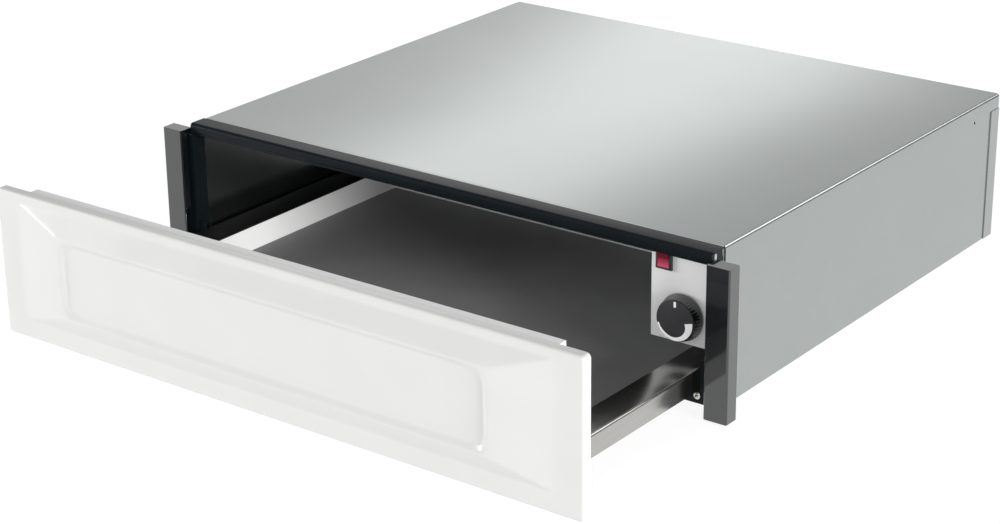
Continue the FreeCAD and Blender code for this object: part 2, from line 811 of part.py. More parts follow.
def capillary_tube():
    low = capillary_exit_z()
    high = bulb_z()
    start = plate_back + thermostat_size[1]
    rise = high - low
    lift = start + capillary_run
    corners = [(start, low), (lift, low), (lift + rise, high), (bulb_start, high)]
    points = [FreeCAD.Vector(knob_x, y, z) for y, z in corners]
    path = bent_path(points)
    section = Part.Wire(Part.makeCircle(capillary_r, points[0], FreeCAD.Vector(0, 1, 0)))
    return Part.Wire(path).makePipeShell([section], True, True)


def bent_path(points):
    """Straight runs joined by tangent arcs that each use 0.45 of the shorter run."""
    edges = []
    start = points[0]
    for i in range(1, len(points) - 1):
        before = points[i] - points[i - 1]
        after = points[i + 1] - points[i]
        cut = 0.45 * min(before.Length, after.Length)
        into = before.normalize()
        out = after.normalize()
        a = points[i] - into * cut
        b = points[i] + out * cut
        turn = into.getAngle(out)
        r = cut / math.tan(turn / 2)
        side = (out - into).normalize()
        centre = points[i] + side * (r / math.cos(turn / 2))
        middle = centre - side * r
        edges.append(Part.LineSegment(start, a).toShape())
        edges.append(Part.Arc(a, middle, b).toShape())
        print(f"bend radius {r:.1f} mm")
        start = b
    edges.append(Part.LineSegment(start, points[-1]).toShape())
    return edges


# Rear chamber
def air_baffle():
    y = (baffle_depth, baffle_back)
    plate = box((-wall_in, wall_in), y, (2 * sheet, roof - sheet))
    holes = []
    rows = int(wheel_r / grille_pitch)
    for row in range(-rows, rows + 1):
        for column in range(-rows - 1, rows + 2):
            x = (column + 0.5 * (row % 2)) * grille_pitch
            z = row * grille_pitch * math.sqrt(3) / 2
            if math.hypot(x, z) < wheel_r - grille_hole_r:
                holes.append(rod(grille_hole_r, y, x, fan_z + z))
    for i in range(outlet_count):
        x = wall_in - fold - (i + 1) * outlet_pitch
        for side in (-1, 1):
            slot_x = (side * x - outlet_slot[0] / 2, side * x + outlet_slot[0] / 2)
            holes.append(box(slot_x, y, (fan_z - outlet_slot[1] / 2, fan_z + outlet_slot[1] / 2)))
    return plate.cut(Part.makeCompound(holes))


def fan_wheel():
    y0 = wheel_front
    y1 = y0 + wheel_length
    rear = y1 + wheel_hub_proud
    back = rod(wheel_r, (y1 - wheel_sheet, y1), 0, fan_z)
    ring = rod(wheel_r, (y0, y0 + wheel_sheet), 0, fan_z)
    ring = ring.cut(rod(wheel_r - wheel_ring, (y0, y0 + wheel_sheet), 0, fan_z))
    hub = rod(wheel_hub_r, (y1 - wheel_hub_length, rear), 0, fan_z)
    blade = box((wheel_r * 0.62, wheel_r - 0.5), (y0, y1), (fan_z - blade_thick / 2, fan_z + blade_thick / 2))
    blade.rotate(FreeCAD.Vector(wheel_r * 0.8, 0, fan_z), FreeCAD.Vector(0, 1, 0), blade_lean)
    pieces = [back, ring, hub]
    for i in range(blade_count):
        copy = blade.copy()
        copy.rotate(FreeCAD.Vector(0, 0, fan_z), FreeCAD.Vector(0, 1, 0), i * 360 / blade_count)
        pieces.append(copy)
    wheel = join(pieces).common(rod(wheel_r, (y0, rear), 0, fan_z))
    return wheel.cut(rod(fan_shaft_r, (y0, rear), 0, fan_z))


def fan_rotor():
    start = wheel_front + wheel_length - wheel_hub_length
    shaft = rod(fan_shaft_r, (start, stator_back + 3 * bridge_sheet), 0, fan_z)
    core = rod(rotor_r, (stator_front, stator_back), 0, fan_z)
    return shaft.fuse(core).removeSplitter()


def fan_stator():
    half = stator_size[0] / 2
    y = (stator_front, stator_back)
    low = stator_bottom
    block = box((-half, half), y, (low, low + stator_size[2]))
    block = block.cut(rod(rotor_r + rotor_gap, y, 0, fan_z))
    window_half = coil_size[0] / 2 + coil_window_gap
    window_z = (low + stator_limb, low + stator_limb + stator_window)
    return block.cut(box((-window_half, window_half), y, window_z))


def fan_coil():
    low = stator_bottom
    middle = (stator_front + stator_back) / 2
    half = coil_size[0] / 2
    y = (middle - coil_size[1] / 2, middle + coil_size[1] / 2)
    coil = box((-half, half), y, (low - coil_under, low - coil_under + coil_size[2]))
    return coil.cut(box((-half, half), (stator_front, stator_back), (low, low + stator_limb)))


def fan_bridges():
    half = stator_size[0] / 2
    reach = bridge_sheet / 2
    z = (fan_z - wheel_hub_r / 2, fan_z + wheel_hub_r / 2)
    bridges = []
    for face, side in ((stator_front, -1), (stator_back, 1)):
        bar = box((-half, half), sorted((face + side * reach, face + side * (reach + bridge_sheet))), z)
        feet_y = sorted((face, face + side * reach))
        foot = box((half - 6, half), feet_y, z)
        bridge = join([bar, foot, mirrored(foot)])
        bore = rod(fan_shaft_r + running_gap, sorted((face, face + side * (reach + bridge_sheet))), 0, fan_z)
        bridges.append(bridge.cut(bore))
    return Part.makeCompound(bridges)


def motor_pillars():
    x = stator_size[0] / 2 - 2 * pillar_r
    z = stator_bottom + stator_size[2] - 2 * pillar_r
    pair = [rod(pillar_r, (stator_back, rear_in), side * x, z) for side in (-1, 1)]
    low = stator_bottom + stator_limb / 2
    pair += [rod(pillar_r, (stator_back, rear_in), side * x, low) for side in (-1, 1)]
    return Part.makeCompound(pair)


def heater_element():
    """One open ring round the fan wheel, its two ends bent back to the rear panel."""
    ring_y = wheel_front + wheel_length / 2
    r = heater_ring_r
    open_a = math.radians(heater_open_deg)
    centre = FreeCAD.Vector(0, ring_y, fan_z)

    def on_ring(a):
        return centre + FreeCAD.Vector(r * math.sin(a), 0, -r * math.cos(a))

    ends = []
    for side in (1, -1):
        tip = on_ring(side * open_a)
        along = FreeCAD.Vector(-side * math.cos(open_a), 0, -math.sin(open_a))
        bend_centre = tip + FreeCAD.Vector(0, heater_bend_r, 0)
        leg = bend_centre + along * heater_bend_r
        half = math.sqrt(0.5) * heater_bend_r
        middle = bend_centre + along * half - FreeCAD.Vector(0, half, 0)
        foot = FreeCAD.Vector(leg.x, rear_in, leg.z)
        ends.append((tip, middle, leg, foot))
    (tip_a, mid_a, leg_a, foot_a), (tip_b, mid_b, leg_b, foot_b) = ends
    path = [Part.LineSegment(foot_a, leg_a).toShape()]
    path.append(Part.Arc(leg_a, mid_a, tip_a).toShape())
    path.append(Part.Arc(tip_a, on_ring(math.pi / 2), on_ring(math.pi)).toShape())
    path.append(Part.Arc(on_ring(math.pi), on_ring(-math.pi / 2), tip_b).toShape())
    path.append(Part.Arc(tip_b, mid_b, leg_b).toShape())
    path.append(Part.LineSegment(leg_b, foot_b).toShape())
    section = Part.Wire(Part.makeCircle(heater_r, foot_a, FreeCAD.Vector(0, 1, 0)))
    return Part.Wire(path).makePipeShell([section], True, True)


def overheat_cutout():
    return rod(cutout_r, (baffle_back, baffle_back + cutout_length), wheel_r * 2.2, fan_z + wheel_r / 2)


def terminal_block():
    w, d, h = terminal_size
    block_y = (rear_in - terminal_lift - sheet - d, rear_in - terminal_lift - sheet)
    block = box((terminal_x - w / 2, terminal_x + w / 2), block_y, (sheet, sheet + h))
    r, deep = terminal_well
    for x, y in terminal_places():
        block = block.cut(Part.makeCylinder(r, deep, FreeCAD.Vector(x, y, sheet + h - deep)))
    return block


def terminal_places():
    y = rear_in - terminal_lift - sheet - terminal_size[1] / 2
    return [(terminal_x + i * terminal_pitch, y) for i in (-1, 0, 1)]


def terminal_screws():
    base = sheet + terminal_size[2] - terminal_well[1]
    r, high = terminal_head
    heads = [Part.makeCylinder(r, high, FreeCAD.Vector(x, y, base)) for x, y in terminal_places()]
    return Part.makeCompound(heads)


def cable_gland():
    outer = gland_bore_r + gland_wall
    body = rod(outer, (rear_in - 2 * gland_flange, rear_in + sheet + gland_flange), gland_x, gland_z)
    inside = rod(gland_flange_r, (rear_in - gland_flange, rear_in), gland_x, gland_z)
    outside = rod(gland_flange_r, (rear_in + sheet, rear_in + sheet + gland_flange), gland_x, gland_z)
    gland = join([body, inside, outside])
    bore_y = (rear_in - 2 * gland_flange, rear_in + sheet + gland_flange)
    return gland.cut(rod(gland_bore_r, bore_y, gland_x, gland_z))


# Latch
def latch_z():
    return latch_bottom + latch_height / 2


def latch_body():
    half = latch_width / 2
    front = tray_rear + latch_tray_gap
    body = box((-half, half), (front, baffle_depth), (latch_bottom, latch_bottom + latch_height))
    bore_y = (front, baffle_depth - latch_end_wall)
    return body.cut(rod(plunger_r + running_gap, bore_y, 0, latch_z()))


def latch_plunger():
    tip = tray_rear + plunger_gap
    plunger = rod(plunger_r, (tip, tip + plunger_length), 0, latch_z())
    nose = edges_where(plunger, lambda e: e.BoundBox.YMax < tip + 0.001)
    return plunger.makeFillet(plunger_edge_r, nose)


# Screws
def post_screws():
    y = collar_setback + collar_sheet
    length = screw_length
    right = [screw(x, z, y, length, -1) for x, z in post_screw_places()]
    return Part.makeCompound(right + [mirrored(s) for s in right])


def bracket_screws():
    x, z = bracket_screw_place()
    one = screw(x, z, bracket_front, 2 * support_sheet + 2)
    return Part.makeCompound([one, mirrored(one)])


def front_screws():
    y = liner_back + tray_sheet
    return Part.makeCompound([screw(x, z, y, 3.5, -1) for x, z in front_screw_places()])


def rear_screws():
    x = wall_in - fold / 2
    right = [screw(x, z, rear_in + sheet, 4 * sheet, -1) for z in rear_screw_heights()]
    return Part.makeCompound(right + [mirrored(s) for s in right])


def cover_screws():
    z = body_height - cover_flange / 2
    return Part.makeCompound([screw(x, z, housing_depth, 5 * sheet, -1) for x in cover_screw_places()])


def build():
    os.makedirs("parts", exist_ok=True)
    outer, middle, inner = slide_members()

    save("base_plate", base_plate())
    save_pair("side_panel", side_panel())
    save("top_cover", top_cover())
    save("rear_panel", rear_panel())
    save("collar_top", collar_top())
    save_pair("collar_side", collar_side())
    save_pair("post", post())
    save_pair("slide_support", slide_support())
    save_pair("corner_bracket", corner_bracket())
    save_pair("slide_outer", outer)

    save("control_plate", control_plate())
    save("control_box", control_box())
    save("thermostat_body", thermostat_body())
    save("thermostat_nut", thermostat_nut())
    save("thermostat_shaft", thermostat_shaft())
    save("thermostat_knob", thermostat_knob())
    save("knob_marks", knob_marks())
    save("switch_body", switch_body())
    save("switch_rocker", switch_rocker())
    save("sensor_bulb", sensor_bulb())
    save("bulb_clip", bulb_clip())
    save("capillary_tube", capillary_tube())

    save("air_baffle", air_baffle())
    save("fan_wheel", fan_wheel())
    save("fan_rotor", fan_rotor())
    save("fan_stator", fan_stator())
    save("fan_coil", fan_coil())
    save("fan_bridges", fan_bridges())
    save("motor_pillars", motor_pillars())
    save("heater_element", heater_element())
    save("overheat_cutout", overheat_cutout())
    save("terminal_block", terminal_block())
    save("terminal_screws", terminal_screws())
    save("cable_gland", cable_gland())
    save("latch_body", latch_body())
    save("latch_plunger", latch_plunger())

    save("post_screws", post_screws())
    save("bracket_screws", bracket_screws())
    save("rear_screws", rear_screws())
    save("cover_screws", cover_screws())

    save_pair("slide_middle", middle, rest_open / 2)
    save_pair("slide_inner", inner, rest_open)
    save("front_panel", front_panel(), rest_open)
    save("front_liner", front_liner(), rest_open)
    save("drawer_tray", drawer_tray(), rest_open)
    save("drawer_mat", drawer_mat(), rest_open)
    save("front_screws", front_screws(), rest_open)


build()
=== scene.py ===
import json
import math

import bmesh
import bpy
from mathutils import Matrix, Vector

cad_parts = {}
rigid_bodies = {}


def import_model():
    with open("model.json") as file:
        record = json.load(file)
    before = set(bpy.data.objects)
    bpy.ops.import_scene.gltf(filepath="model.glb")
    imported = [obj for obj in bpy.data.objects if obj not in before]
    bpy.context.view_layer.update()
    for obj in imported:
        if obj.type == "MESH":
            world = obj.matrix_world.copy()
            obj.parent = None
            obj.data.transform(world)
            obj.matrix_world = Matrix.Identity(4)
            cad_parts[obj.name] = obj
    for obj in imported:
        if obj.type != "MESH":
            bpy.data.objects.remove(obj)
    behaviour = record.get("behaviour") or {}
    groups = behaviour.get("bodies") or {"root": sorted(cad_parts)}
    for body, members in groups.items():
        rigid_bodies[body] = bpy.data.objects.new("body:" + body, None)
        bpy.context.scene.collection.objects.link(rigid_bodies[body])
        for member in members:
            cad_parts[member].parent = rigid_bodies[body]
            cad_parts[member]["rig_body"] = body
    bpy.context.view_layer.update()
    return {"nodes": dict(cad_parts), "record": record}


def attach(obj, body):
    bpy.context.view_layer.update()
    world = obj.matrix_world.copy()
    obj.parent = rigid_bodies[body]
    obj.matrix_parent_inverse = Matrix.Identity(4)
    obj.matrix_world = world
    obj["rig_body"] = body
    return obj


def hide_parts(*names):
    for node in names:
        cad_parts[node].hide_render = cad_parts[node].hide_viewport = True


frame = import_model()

# Warming drawer for a kitchen column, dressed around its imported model.
# Sizes here are millimetres. Depths are counted from the front plane of the posts with the drawer
# closed, as the model was drawn, and toRoom() turns them into the model's own metres.
mm = 0.001
originDepth = 250.0
drawerOpen = 185.0


def toRoom(point, opened=0.0):
    return Vector((point[0] * mm, (point[1] - originDepth - opened) * mm, point[2] * mm))


# Node and material helpers
def linearColour(code):  # an sRGB hex code to the linear colour that shaders work in
    channels = [int(code[i:i + 2], 16) / 255 for i in (1, 3, 5)]
    return [c / 12.92 if c <= 0.04045 else ((c + 0.055) / 1.055) ** 2.4 for c in channels] + [1.0]


def addNode(tree, kind, links=None, **settings):  # each link is a node, a socket or a plain value
    node = tree.nodes.new(kind)
    for name, value in settings.items():
        setattr(node, name, value)
    for socket, value in (links or {}).items():
        if isinstance(value, bpy.types.Node):
            value = value.outputs[0]
        if isinstance(value, bpy.types.NodeSocket):
            tree.links.new(value, node.inputs[socket])
        else:
            node.inputs[socket].default_value = value
    return node


def newMaterial(name, colour, roughness, metallic=0.0, **constants):
    material = bpy.data.materials.new(name)
    material.use_nodes = True
    tree = material.node_tree
    tree.nodes.clear()
    shader = addNode(tree, "ShaderNodeBsdfPrincipled")
    shader.inputs["Base Color"].default_value = linearColour(colour)
    shader.inputs["Roughness"].default_value = roughness
    shader.inputs["Metallic"].default_value = metallic
    for socket, value in constants.items():
        shader.inputs[socket].default_value = value
    addNode(tree, "ShaderNodeOutputMaterial", {"Surface": shader.outputs[0]})
    place = addNode(tree, "ShaderNodeTexCoord").outputs["Object"]
    return material, tree, shader, place


def perMetre(size):  # texture scale for a pattern that repeats every so many mm
    return 1.0 / (size * mm)


noiseSpan = (0.3, 0.7)  # the range that a noise pattern really uses


# shade: pattern, its span, two colours. gloss: pattern, its span, two roughnesses.
# relief: pattern, depth in mm between black and white, strength.
def dress(tree, shader, shade=None, gloss=None, relief=None):
    if shade:
        pattern, span, (first, second) = shade
        share = addNode(tree, "ShaderNodeMapRange", {0: pattern, 1: span[0], 2: span[1]})
        pair = {0: share, 6: linearColour(first), 7: linearColour(second)}
        mixed = addNode(tree, "ShaderNodeMix", pair, data_type="RGBA")
        tree.links.new(mixed.outputs[2], shader.inputs["Base Color"])
    if gloss:
        pattern, span, (low, high) = gloss
        level = addNode(tree, "ShaderNodeMapRange", {0: pattern, 1: span[0], 2: span[1], 3: low, 4: high})
        tree.links.new(level.outputs[0], shader.inputs["Roughness"])
    if relief:
        pattern, depth, strength = relief
        ground = {"Height": pattern, "Distance": depth * mm, "Strength": strength}
        bump = addNode(tree, "ShaderNodeBump", ground)
        tree.links.new(bump.outputs[0], shader.inputs["Normal"])


# Finishes, each from what the real one is. Sizes of patterns and depths of relief are millimetres.
def vitreousEnamel():  # fired glass on steel: wet gloss over dead-even white, hardly any ripple
    look = dict(pool=45.0, haze=60.0, ripple=7.0, rippleDepth=0.012, colours=("#C9C9C8", "#CBCBCA"),
                roughness=(0.18, 0.24))
    material, tree, shader, place = newMaterial("vitreousEnamelWhite", "#CACAC9", 0.2, IOR=1.52)
    still = {"Vector": place, "Scale": perMetre(look["pool"]), "Detail": 1.0}
    pool = addNode(tree, "ShaderNodeTexNoise", still)
    haze = addNode(tree, "ShaderNodeTexNoise", {"Vector": place, "Scale": perMetre(look["haze"])})
    wave = {"Vector": place, "Scale": perMetre(look["ripple"]), "Detail": 1.5}
    ripple = addNode(tree, "ShaderNodeTexNoise", wave)
    dress(tree, shader, (pool, noiseSpan, look["colours"]), (haze, noiseSpan, look["roughness"]),
          (ripple, look["rippleDepth"], 0.4))
    return material


def powderCoat(name, colours, grain=0.9, roughness=0.42, depth=0.05, gloss=1.5):  # satin orange peel
    cloudSize, spreadOfGloss = 40.0, 0.05
    material, tree, shader, place = newMaterial(name, colours[0], roughness, IOR=gloss)
    peel = addNode(tree, "ShaderNodeTexNoise", {"Vector": place, "Scale": perMetre(grain)})
    cloud = addNode(tree, "ShaderNodeTexNoise", {"Vector": place, "Scale": perMetre(cloudSize), "Detail": 3.0})
    dress(tree, shader, (cloud, noiseSpan, colours),
          (peel, noiseSpan, (roughness - spreadOfGloss, roughness + spreadOfGloss)), (peel, depth, 0.4))
    return material


def galvanisedSteel():  # hot-dip zinc, skin passed: an even satin with spangles that barely show
    look = dict(spangle=4.0, cloud=90.0, skin=1.2, skinDepth=0.0015, spangleShare=0.25, span=(0.3, 1.0),
                colours=("#A5AAA9", "#A9AEAD"), roughness=(0.2, 0.235))
    material, tree, shader, place = newMaterial("galvanisedSteel", "#A7ACAB", 0.21, 1.0)
    spangle = addNode(tree, "ShaderNodeTexVoronoi", {"Vector": place, "Scale": perMetre(look["spangle"])})
    shade = addNode(tree, "ShaderNodeSeparateColor", {0: spangle.outputs["Color"]})
    cloud = addNode(tree, "ShaderNodeTexNoise", {"Vector": place, "Scale": perMetre(look["cloud"])})
    mixed = addNode(tree, "ShaderNodeMath", {0: shade, 1: look["spangleShare"], 2: cloud},
                    operation="MULTIPLY_ADD")
    skin = addNode(tree, "ShaderNodeTexNoise", {"Vector": place, "Scale": perMetre(look["skin"])})
    dress(tree, shader, (mixed, look["span"], look["colours"]), (mixed, look["span"], look["roughness"]),
          (skin, look["skinDepth"], 0.3))
    return material


# Rolled sheet: ledge and skirt polished, the well inside fine-blasted to a pale satin
def polishedStainless():
    look = dict(well=235.6, wellEdge=0.3, top=37.4, topEdge=0.5, grain=0.9, grainDepth=0.004,
                rolled=("#B1B0AD", "#B9B8B5"), blasted="#F6F6F5", rolledRoughness=(0.19, 0.26),
                blastedRoughness=0.5)
    material, tree, shader, place = newMaterial("polishedStainless", "#B5B4B1", 0.22, 1.0)
    along = addNode(tree, "ShaderNodeMapping", {"Vector": place, "Scale": (1.0, 0.03, 1.0)})
    lines = {"Vector": along, "Scale": perMetre(look["grain"]), "Detail": 4.0, "Roughness": 0.6}
    grain = addNode(tree, "ShaderNodeTexNoise", lines)
    where = addNode(tree, "ShaderNodeSeparateXYZ", {0: place})
    across = addNode(tree, "ShaderNodeMath", {0: where.outputs[0]}, operation="ABSOLUTE")
    wellFrom, wellTo = (look["well"] - look["wellEdge"]) * mm, (look["well"] + look["wellEdge"]) * mm
    inside = addNode(tree, "ShaderNodeMapRange", {0: across, 1: wellFrom, 2: wellTo, 3: 1.0, 4: 0.0})
    topFrom, topTo = (look["top"] - look["topEdge"]) * mm, look["top"] * mm
    below = addNode(tree, "ShaderNodeMapRange", {0: where.outputs[2], 1: topFrom, 2: topTo, 3: 1.0, 4: 0.0})
    blasted = addNode(tree, "ShaderNodeMath", {0: inside, 1: below}, operation="MULTIPLY")
    share = addNode(tree, "ShaderNodeMapRange", {0: grain, 1: noiseSpan[0], 2: noiseSpan[1]})
    dark, bright = (linearColour(code) for code in look["rolled"])
    rolled = addNode(tree, "ShaderNodeMix", {0: share, 6: dark, 7: bright}, data_type="RGBA")
    pale = {0: blasted, 6: rolled.outputs[2], 7: linearColour(look["blasted"])}
    pale = addNode(tree, "ShaderNodeMix", pale, data_type="RGBA")
    tree.links.new(pale.outputs[2], shader.inputs["Base Color"])
    fine, coarse = look["rolledRoughness"]
    sheen = {0: grain, 1: noiseSpan[0], 2: noiseSpan[1], 3: fine, 4: coarse}
    sheen = addNode(tree, "ShaderNodeMapRange", sheen)
    satin = {0: blasted, 2: sheen, 3: look["blastedRoughness"]}
    satin = addNode(tree, "ShaderNodeMix", satin, data_type="FLOAT")
    tree.links.new(satin.outputs[0], shader.inputs["Roughness"])
    bare = addNode(tree, "ShaderNodeMapRange", {0: blasted, 3: 1.0, 4: 0.0})
    tree.links.new(bare.outputs[0], shader.inputs["Metallic"])
    dress(tree, shader, relief=(grain, look["grainDepth"], 0.4))
    return material


def siliconeMat():  # moulded rubber: deep matte, pebbled so that plates don't slip
    look = dict(pebble=1.8, pebbleDepth=-0.12, dust=55.0, colours=("#818181", "#878788"),
                roughness=(0.66, 0.76))
    material, tree, shader, place = newMaterial("siliconeMat", "#848485", 0.7, IOR=1.43)
    pebble = addNode(tree, "ShaderNodeTexVoronoi", {"Vector": place, "Scale": perMetre(look["pebble"])},
                     feature="SMOOTH_F1")
    film = {"Vector": place, "Scale": perMetre(look["dust"]), "Detail": 4.0}
    dust = addNode(tree, "ShaderNodeTexNoise", film)
    dress(tree, shader, (dust, noiseSpan, look["colours"]), (dust, noiseSpan, look["roughness"]),
          (pebble, look["pebbleDepth"], 0.5))
    return material


def satinSilver():  # silver lacquer on aluminium: pale, even, a soft sheen
    look = dict(flake=0.4, flakeDepth=0.004, colours=("#F2F3F2", "#F6F6F6"), roughness=(0.34, 0.42))
    material, tree, shader, place = newMaterial("silverLacquer", "#F4F4F3", 0.38, 0.15, IOR=1.5)
    sparkle = {"Vector": place, "Scale": perMetre(look["flake"]), "Detail": 3.0, "Roughness": 0.6}
    flake = addNode(tree, "ShaderNodeTexNoise", sparkle)
    dress(tree, shader, (flake, noiseSpan, look["colours"]), (flake, noiseSpan, look["roughness"]),
          (flake, look["flakeDepth"], 0.4))
    return material


# The fine skin that a spark-eroded mould leaves
def mouldedPlastic(name, colours, roughness, grain=0.35, depth=0.02, **gloss):
    flowSize, smoother, rougher = 14.0, 0.04, 0.05
    material, tree, shader, place = newMaterial(name, colours[0], roughness, **{"IOR": 1.5, **gloss})
    skin = addNode(tree, "ShaderNodeTexNoise", {"Vector": place, "Scale": perMetre(grain)})
    flow = addNode(tree, "ShaderNodeTexNoise", {"Vector": place, "Scale": perMetre(flowSize), "Detail": 3.0})
    dress(tree, shader, (flow, noiseSpan, colours),
          (skin, noiseSpan, (roughness - smoother, roughness + rougher)), (skin, depth, 0.6))
    return material


def platedMetal(name, colours, roughness, grain=2.5):  # plating or bare metal with handling marks
    scratchSize, scratchDepth, smoother, rougher = 0.4, 0.004, 0.07, 0.09
    material, tree, shader, place = newMaterial(name, colours[0], roughness, 1.0)
    marks = {"Vector": place, "Scale": perMetre(grain), "Detail": 4.0, "Roughness": 0.6}
    patch = addNode(tree, "ShaderNodeTexNoise", marks)
    fine = {"Vector": place, "Scale": perMetre(scratchSize), "Detail": 3.0}
    scratches = addNode(tree, "ShaderNodeTexNoise", fine)
    dress(tree, shader, (patch, noiseSpan, colours),
          (patch, noiseSpan, (roughness - smoother, roughness + rougher)), (scratches, scratchDepth, 0.4))
    return material


def redLens():  # clear red polycarbonate; the glow of the neon lamp behind it is painted into the colour, pale low down and darker upwards
    look = dict(lampLow=110.5, lampHigh=118.5, colours=("#DB5470", "#730F26"), ripple=1.2, rippleDepth=0.02)
    material, tree, shader, place = newMaterial("redPolycarbonate", "#A0122C", 0.16, IOR=1.58)
    height = addNode(tree, "ShaderNodeSeparateXYZ", {0: place}).outputs[2]
    wave = {"Vector": place, "Scale": perMetre(look["ripple"]), "Detail": 1.0}
    ripple = addNode(tree, "ShaderNodeTexNoise", wave)
    # painted glow: the lamp's light painted into the colour, pale pink low on the lens, dark red higher up
    dress(tree, shader, (height, (look["lampLow"] * mm, look["lampHigh"] * mm), look["colours"]),
          relief=(ripple, look["rippleDepth"], 0.4))
    return material


finish = {
    "white_enamel": vitreousEnamel(),
    "grey_paint": powderCoat("paleGreyPowderCoat", ("#DDDEDE", "#E1E2E2"), 0.9, 0.4),
    "galvanised_steel": galvanisedSteel(),
    "black_steel": powderCoat("blackPowderCoat", ("#11171A", "#151B1D"), 0.7, 0.24, 0.012, 1.2),
    "gloss_black": mouldedPlastic(
        "glossBlackLacquer", ("#050A0C", "#080D10"), 0.12, 6.0, 0.004,
        **{"IOR": 1.55, "Coat Weight": 1.0, "Coat IOR": 1.6, "Coat Roughness": 0.06}),
    "zinc_plated": platedMetal("brightZincPlate", ("#BDBFBB", "#C8C8C0"), 0.28),
    "polished_stainless": polishedStainless(),
    "mat_rubber": siliconeMat(),
    "silver_plate": satinSilver(),
    "black_plastic": mouldedPlastic("blackAbs", ("#303032", "#363638"), 0.4, 0.6, 0.04),
    "white_mark": mouldedPlastic("whitePrint", ("#EFEFEF", "#F4F4F4"), 0.5, 0.3, 0.005),
    "red_lens": redLens(),
    "white_plastic": mouldedPlastic("whiteNylon", ("#D8D6CF", "#E0DED8"), 0.42, 0.5),
    "copper": platedMetal("bareCopper", ("#C8795A", "#B56A4C"), 0.3),
    "brass": platedMetal("bareBrass", ("#CDB06A", "#BFA057"), 0.3),
    "aluminium": platedMetal("millAluminium", ("#C9CBCC", "#BFC1C3"), 0.34),
    "motor_steel": platedMetal("laminatedSteel", ("#6B6E72", "#7C7F82"), 0.42, 1.2),
}
slotOf = {part["node"]: part["material_slot"] for part in frame["record"]["subparts"]}
for node, piece in frame["nodes"].items():
    piece.data.materials.clear()
    piece.data.materials.append(finish[slotOf[node]])
print("finishes:", len(finish))


# Mesh helpers
weldGap = 0.001  # points nearer than this become one
creaseAngle = 35.0
cutEdgeAngle = 50.0


def finishMesh(piece):
    piece.data.shade_smooth()
    piece.data.set_sharp_from_angle(angle=math.radians(creaseAngle))


def settle(piece):  # modifiers into the mesh
    graph = bpy.context.evaluated_depsgraph_get()
    mesh = bpy.data.meshes.new_from_object(piece.evaluated_get(graph))
    piece.modifiers.clear()
    piece.data = mesh
    return piece


def newPiece(name, points, faces, slot, opened=0.0, turned=False, closed=False):
    mesh = bpy.data.meshes.new(name)
    mesh.from_pydata([toRoom(p, opened) for p in points], [], faces)
    shape = bmesh.new()
    shape.from_mesh(mesh)
    bmesh.ops.remove_doubles(shape, verts=shape.verts, dist=weldGap * mm)
    if closed:
        bmesh.ops.recalc_face_normals(shape, faces=shape.faces)
    if turned:
        bmesh.ops.reverse_faces(shape, faces=shape.faces)
    shape.to_mesh(mesh)
    shape.free()
    mesh.materials.append(finish[slot])
    piece = bpy.data.objects.new(name, mesh)
    bpy.context.scene.collection.objects.link(piece)
    return piece


def handOver(piece, body, slot, *nodes):
    if not piece.data.has_custom_normals:
        finishMesh(piece)
    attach(piece, body)
    if nodes:
        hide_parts(*nodes)
    return piece


edgeWork = dict(weld=0.002, flat=0.6, brokenAbove=30.0, sharpAbove=40.0, segments=2)


def rounded(name, node, width):  # a node's own shape with its edges broken
    source = frame["nodes"][node]
    mesh = source.data.copy()
    shape = bmesh.new()
    shape.from_mesh(mesh)
    bmesh.ops.remove_doubles(shape, verts=shape.verts, dist=edgeWork["weld"] * mm)
    flat = math.radians(edgeWork["flat"])
    bmesh.ops.dissolve_limit(shape, angle_limit=flat, verts=shape.verts, edges=shape.edges)
    shape.to_mesh(mesh)
    shape.free()
    piece = bpy.data.objects.new(name, mesh)
    bpy.context.scene.collection.objects.link(piece)
    bevel = piece.modifiers.new("edges", "BEVEL")
    bevel.width = width * mm
    bevel.segments = edgeWork["segments"]
    bevel.limit_method = "ANGLE"
    bevel.angle_limit = math.radians(edgeWork["brokenAbove"])
    bevel.use_clamp_overlap = True
    mesh.shade_smooth()
    mesh.set_sharp_from_angle(angle=math.radians(edgeWork["sharpAbove"]))
    piece.modifiers.new("flat faces", "WEIGHTED_NORMAL").keep_sharp = True
    settle(piece)
    return handOver(piece, source["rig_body"], slotOf[node], node)


def bent(points, radii, steps=5):  # a polyline with its corners rounded; radii may be one number
    if not hasattr(radii, "__len__"):
        radii = [radii] * (len(points) - 2)
    path = [Vector(points[0])]
    for before, corner, after, radius in zip(points, points[1:], points[2:], radii):
        before, corner, after = Vector(before), Vector(corner), Vector(after)
        into, out = (corner - before).normalized(), (after - corner).normalized()
        turn = into.angle(out)
        cut = radius * math.tan(turn / 2)
        start = corner - into * cut
        side = (out - into).normalized()
        centre = corner + side * (radius / math.cos(turn / 2))
        arm = start - centre
        sign = 1 if into.x * out.y - into.y * out.x > 0 else -1
        for i in range(steps + 1):
            a = sign * turn * i / steps
            path.append(centre + Vector((arm.x * math.cos(a) - arm.y * math.sin(a),
                                         arm.x * math.sin(a) + arm.y * math.cos(a))))
    path.append(Vector(points[-1]))
    return path


def swept(path, stations, place):  # quads between copies of a path; place(point, station) gives x, y, z
    points = [place(p, s) for s in stations for p in path]
    n = len(path)
    faces = []
    for row in range(len(stations) - 1):
        for i in range(n - 1):
            a = row * n + i
            faces.append((a, a + 1, a + n + 1, a + n))
    return points, faces


def merged(*sheets):
    points, faces = [], []
    for more, quads in sheets:
        base = len(points)
        points += more
        faces += [tuple(base + i for i in quad) for quad in quads]
    return points, faces


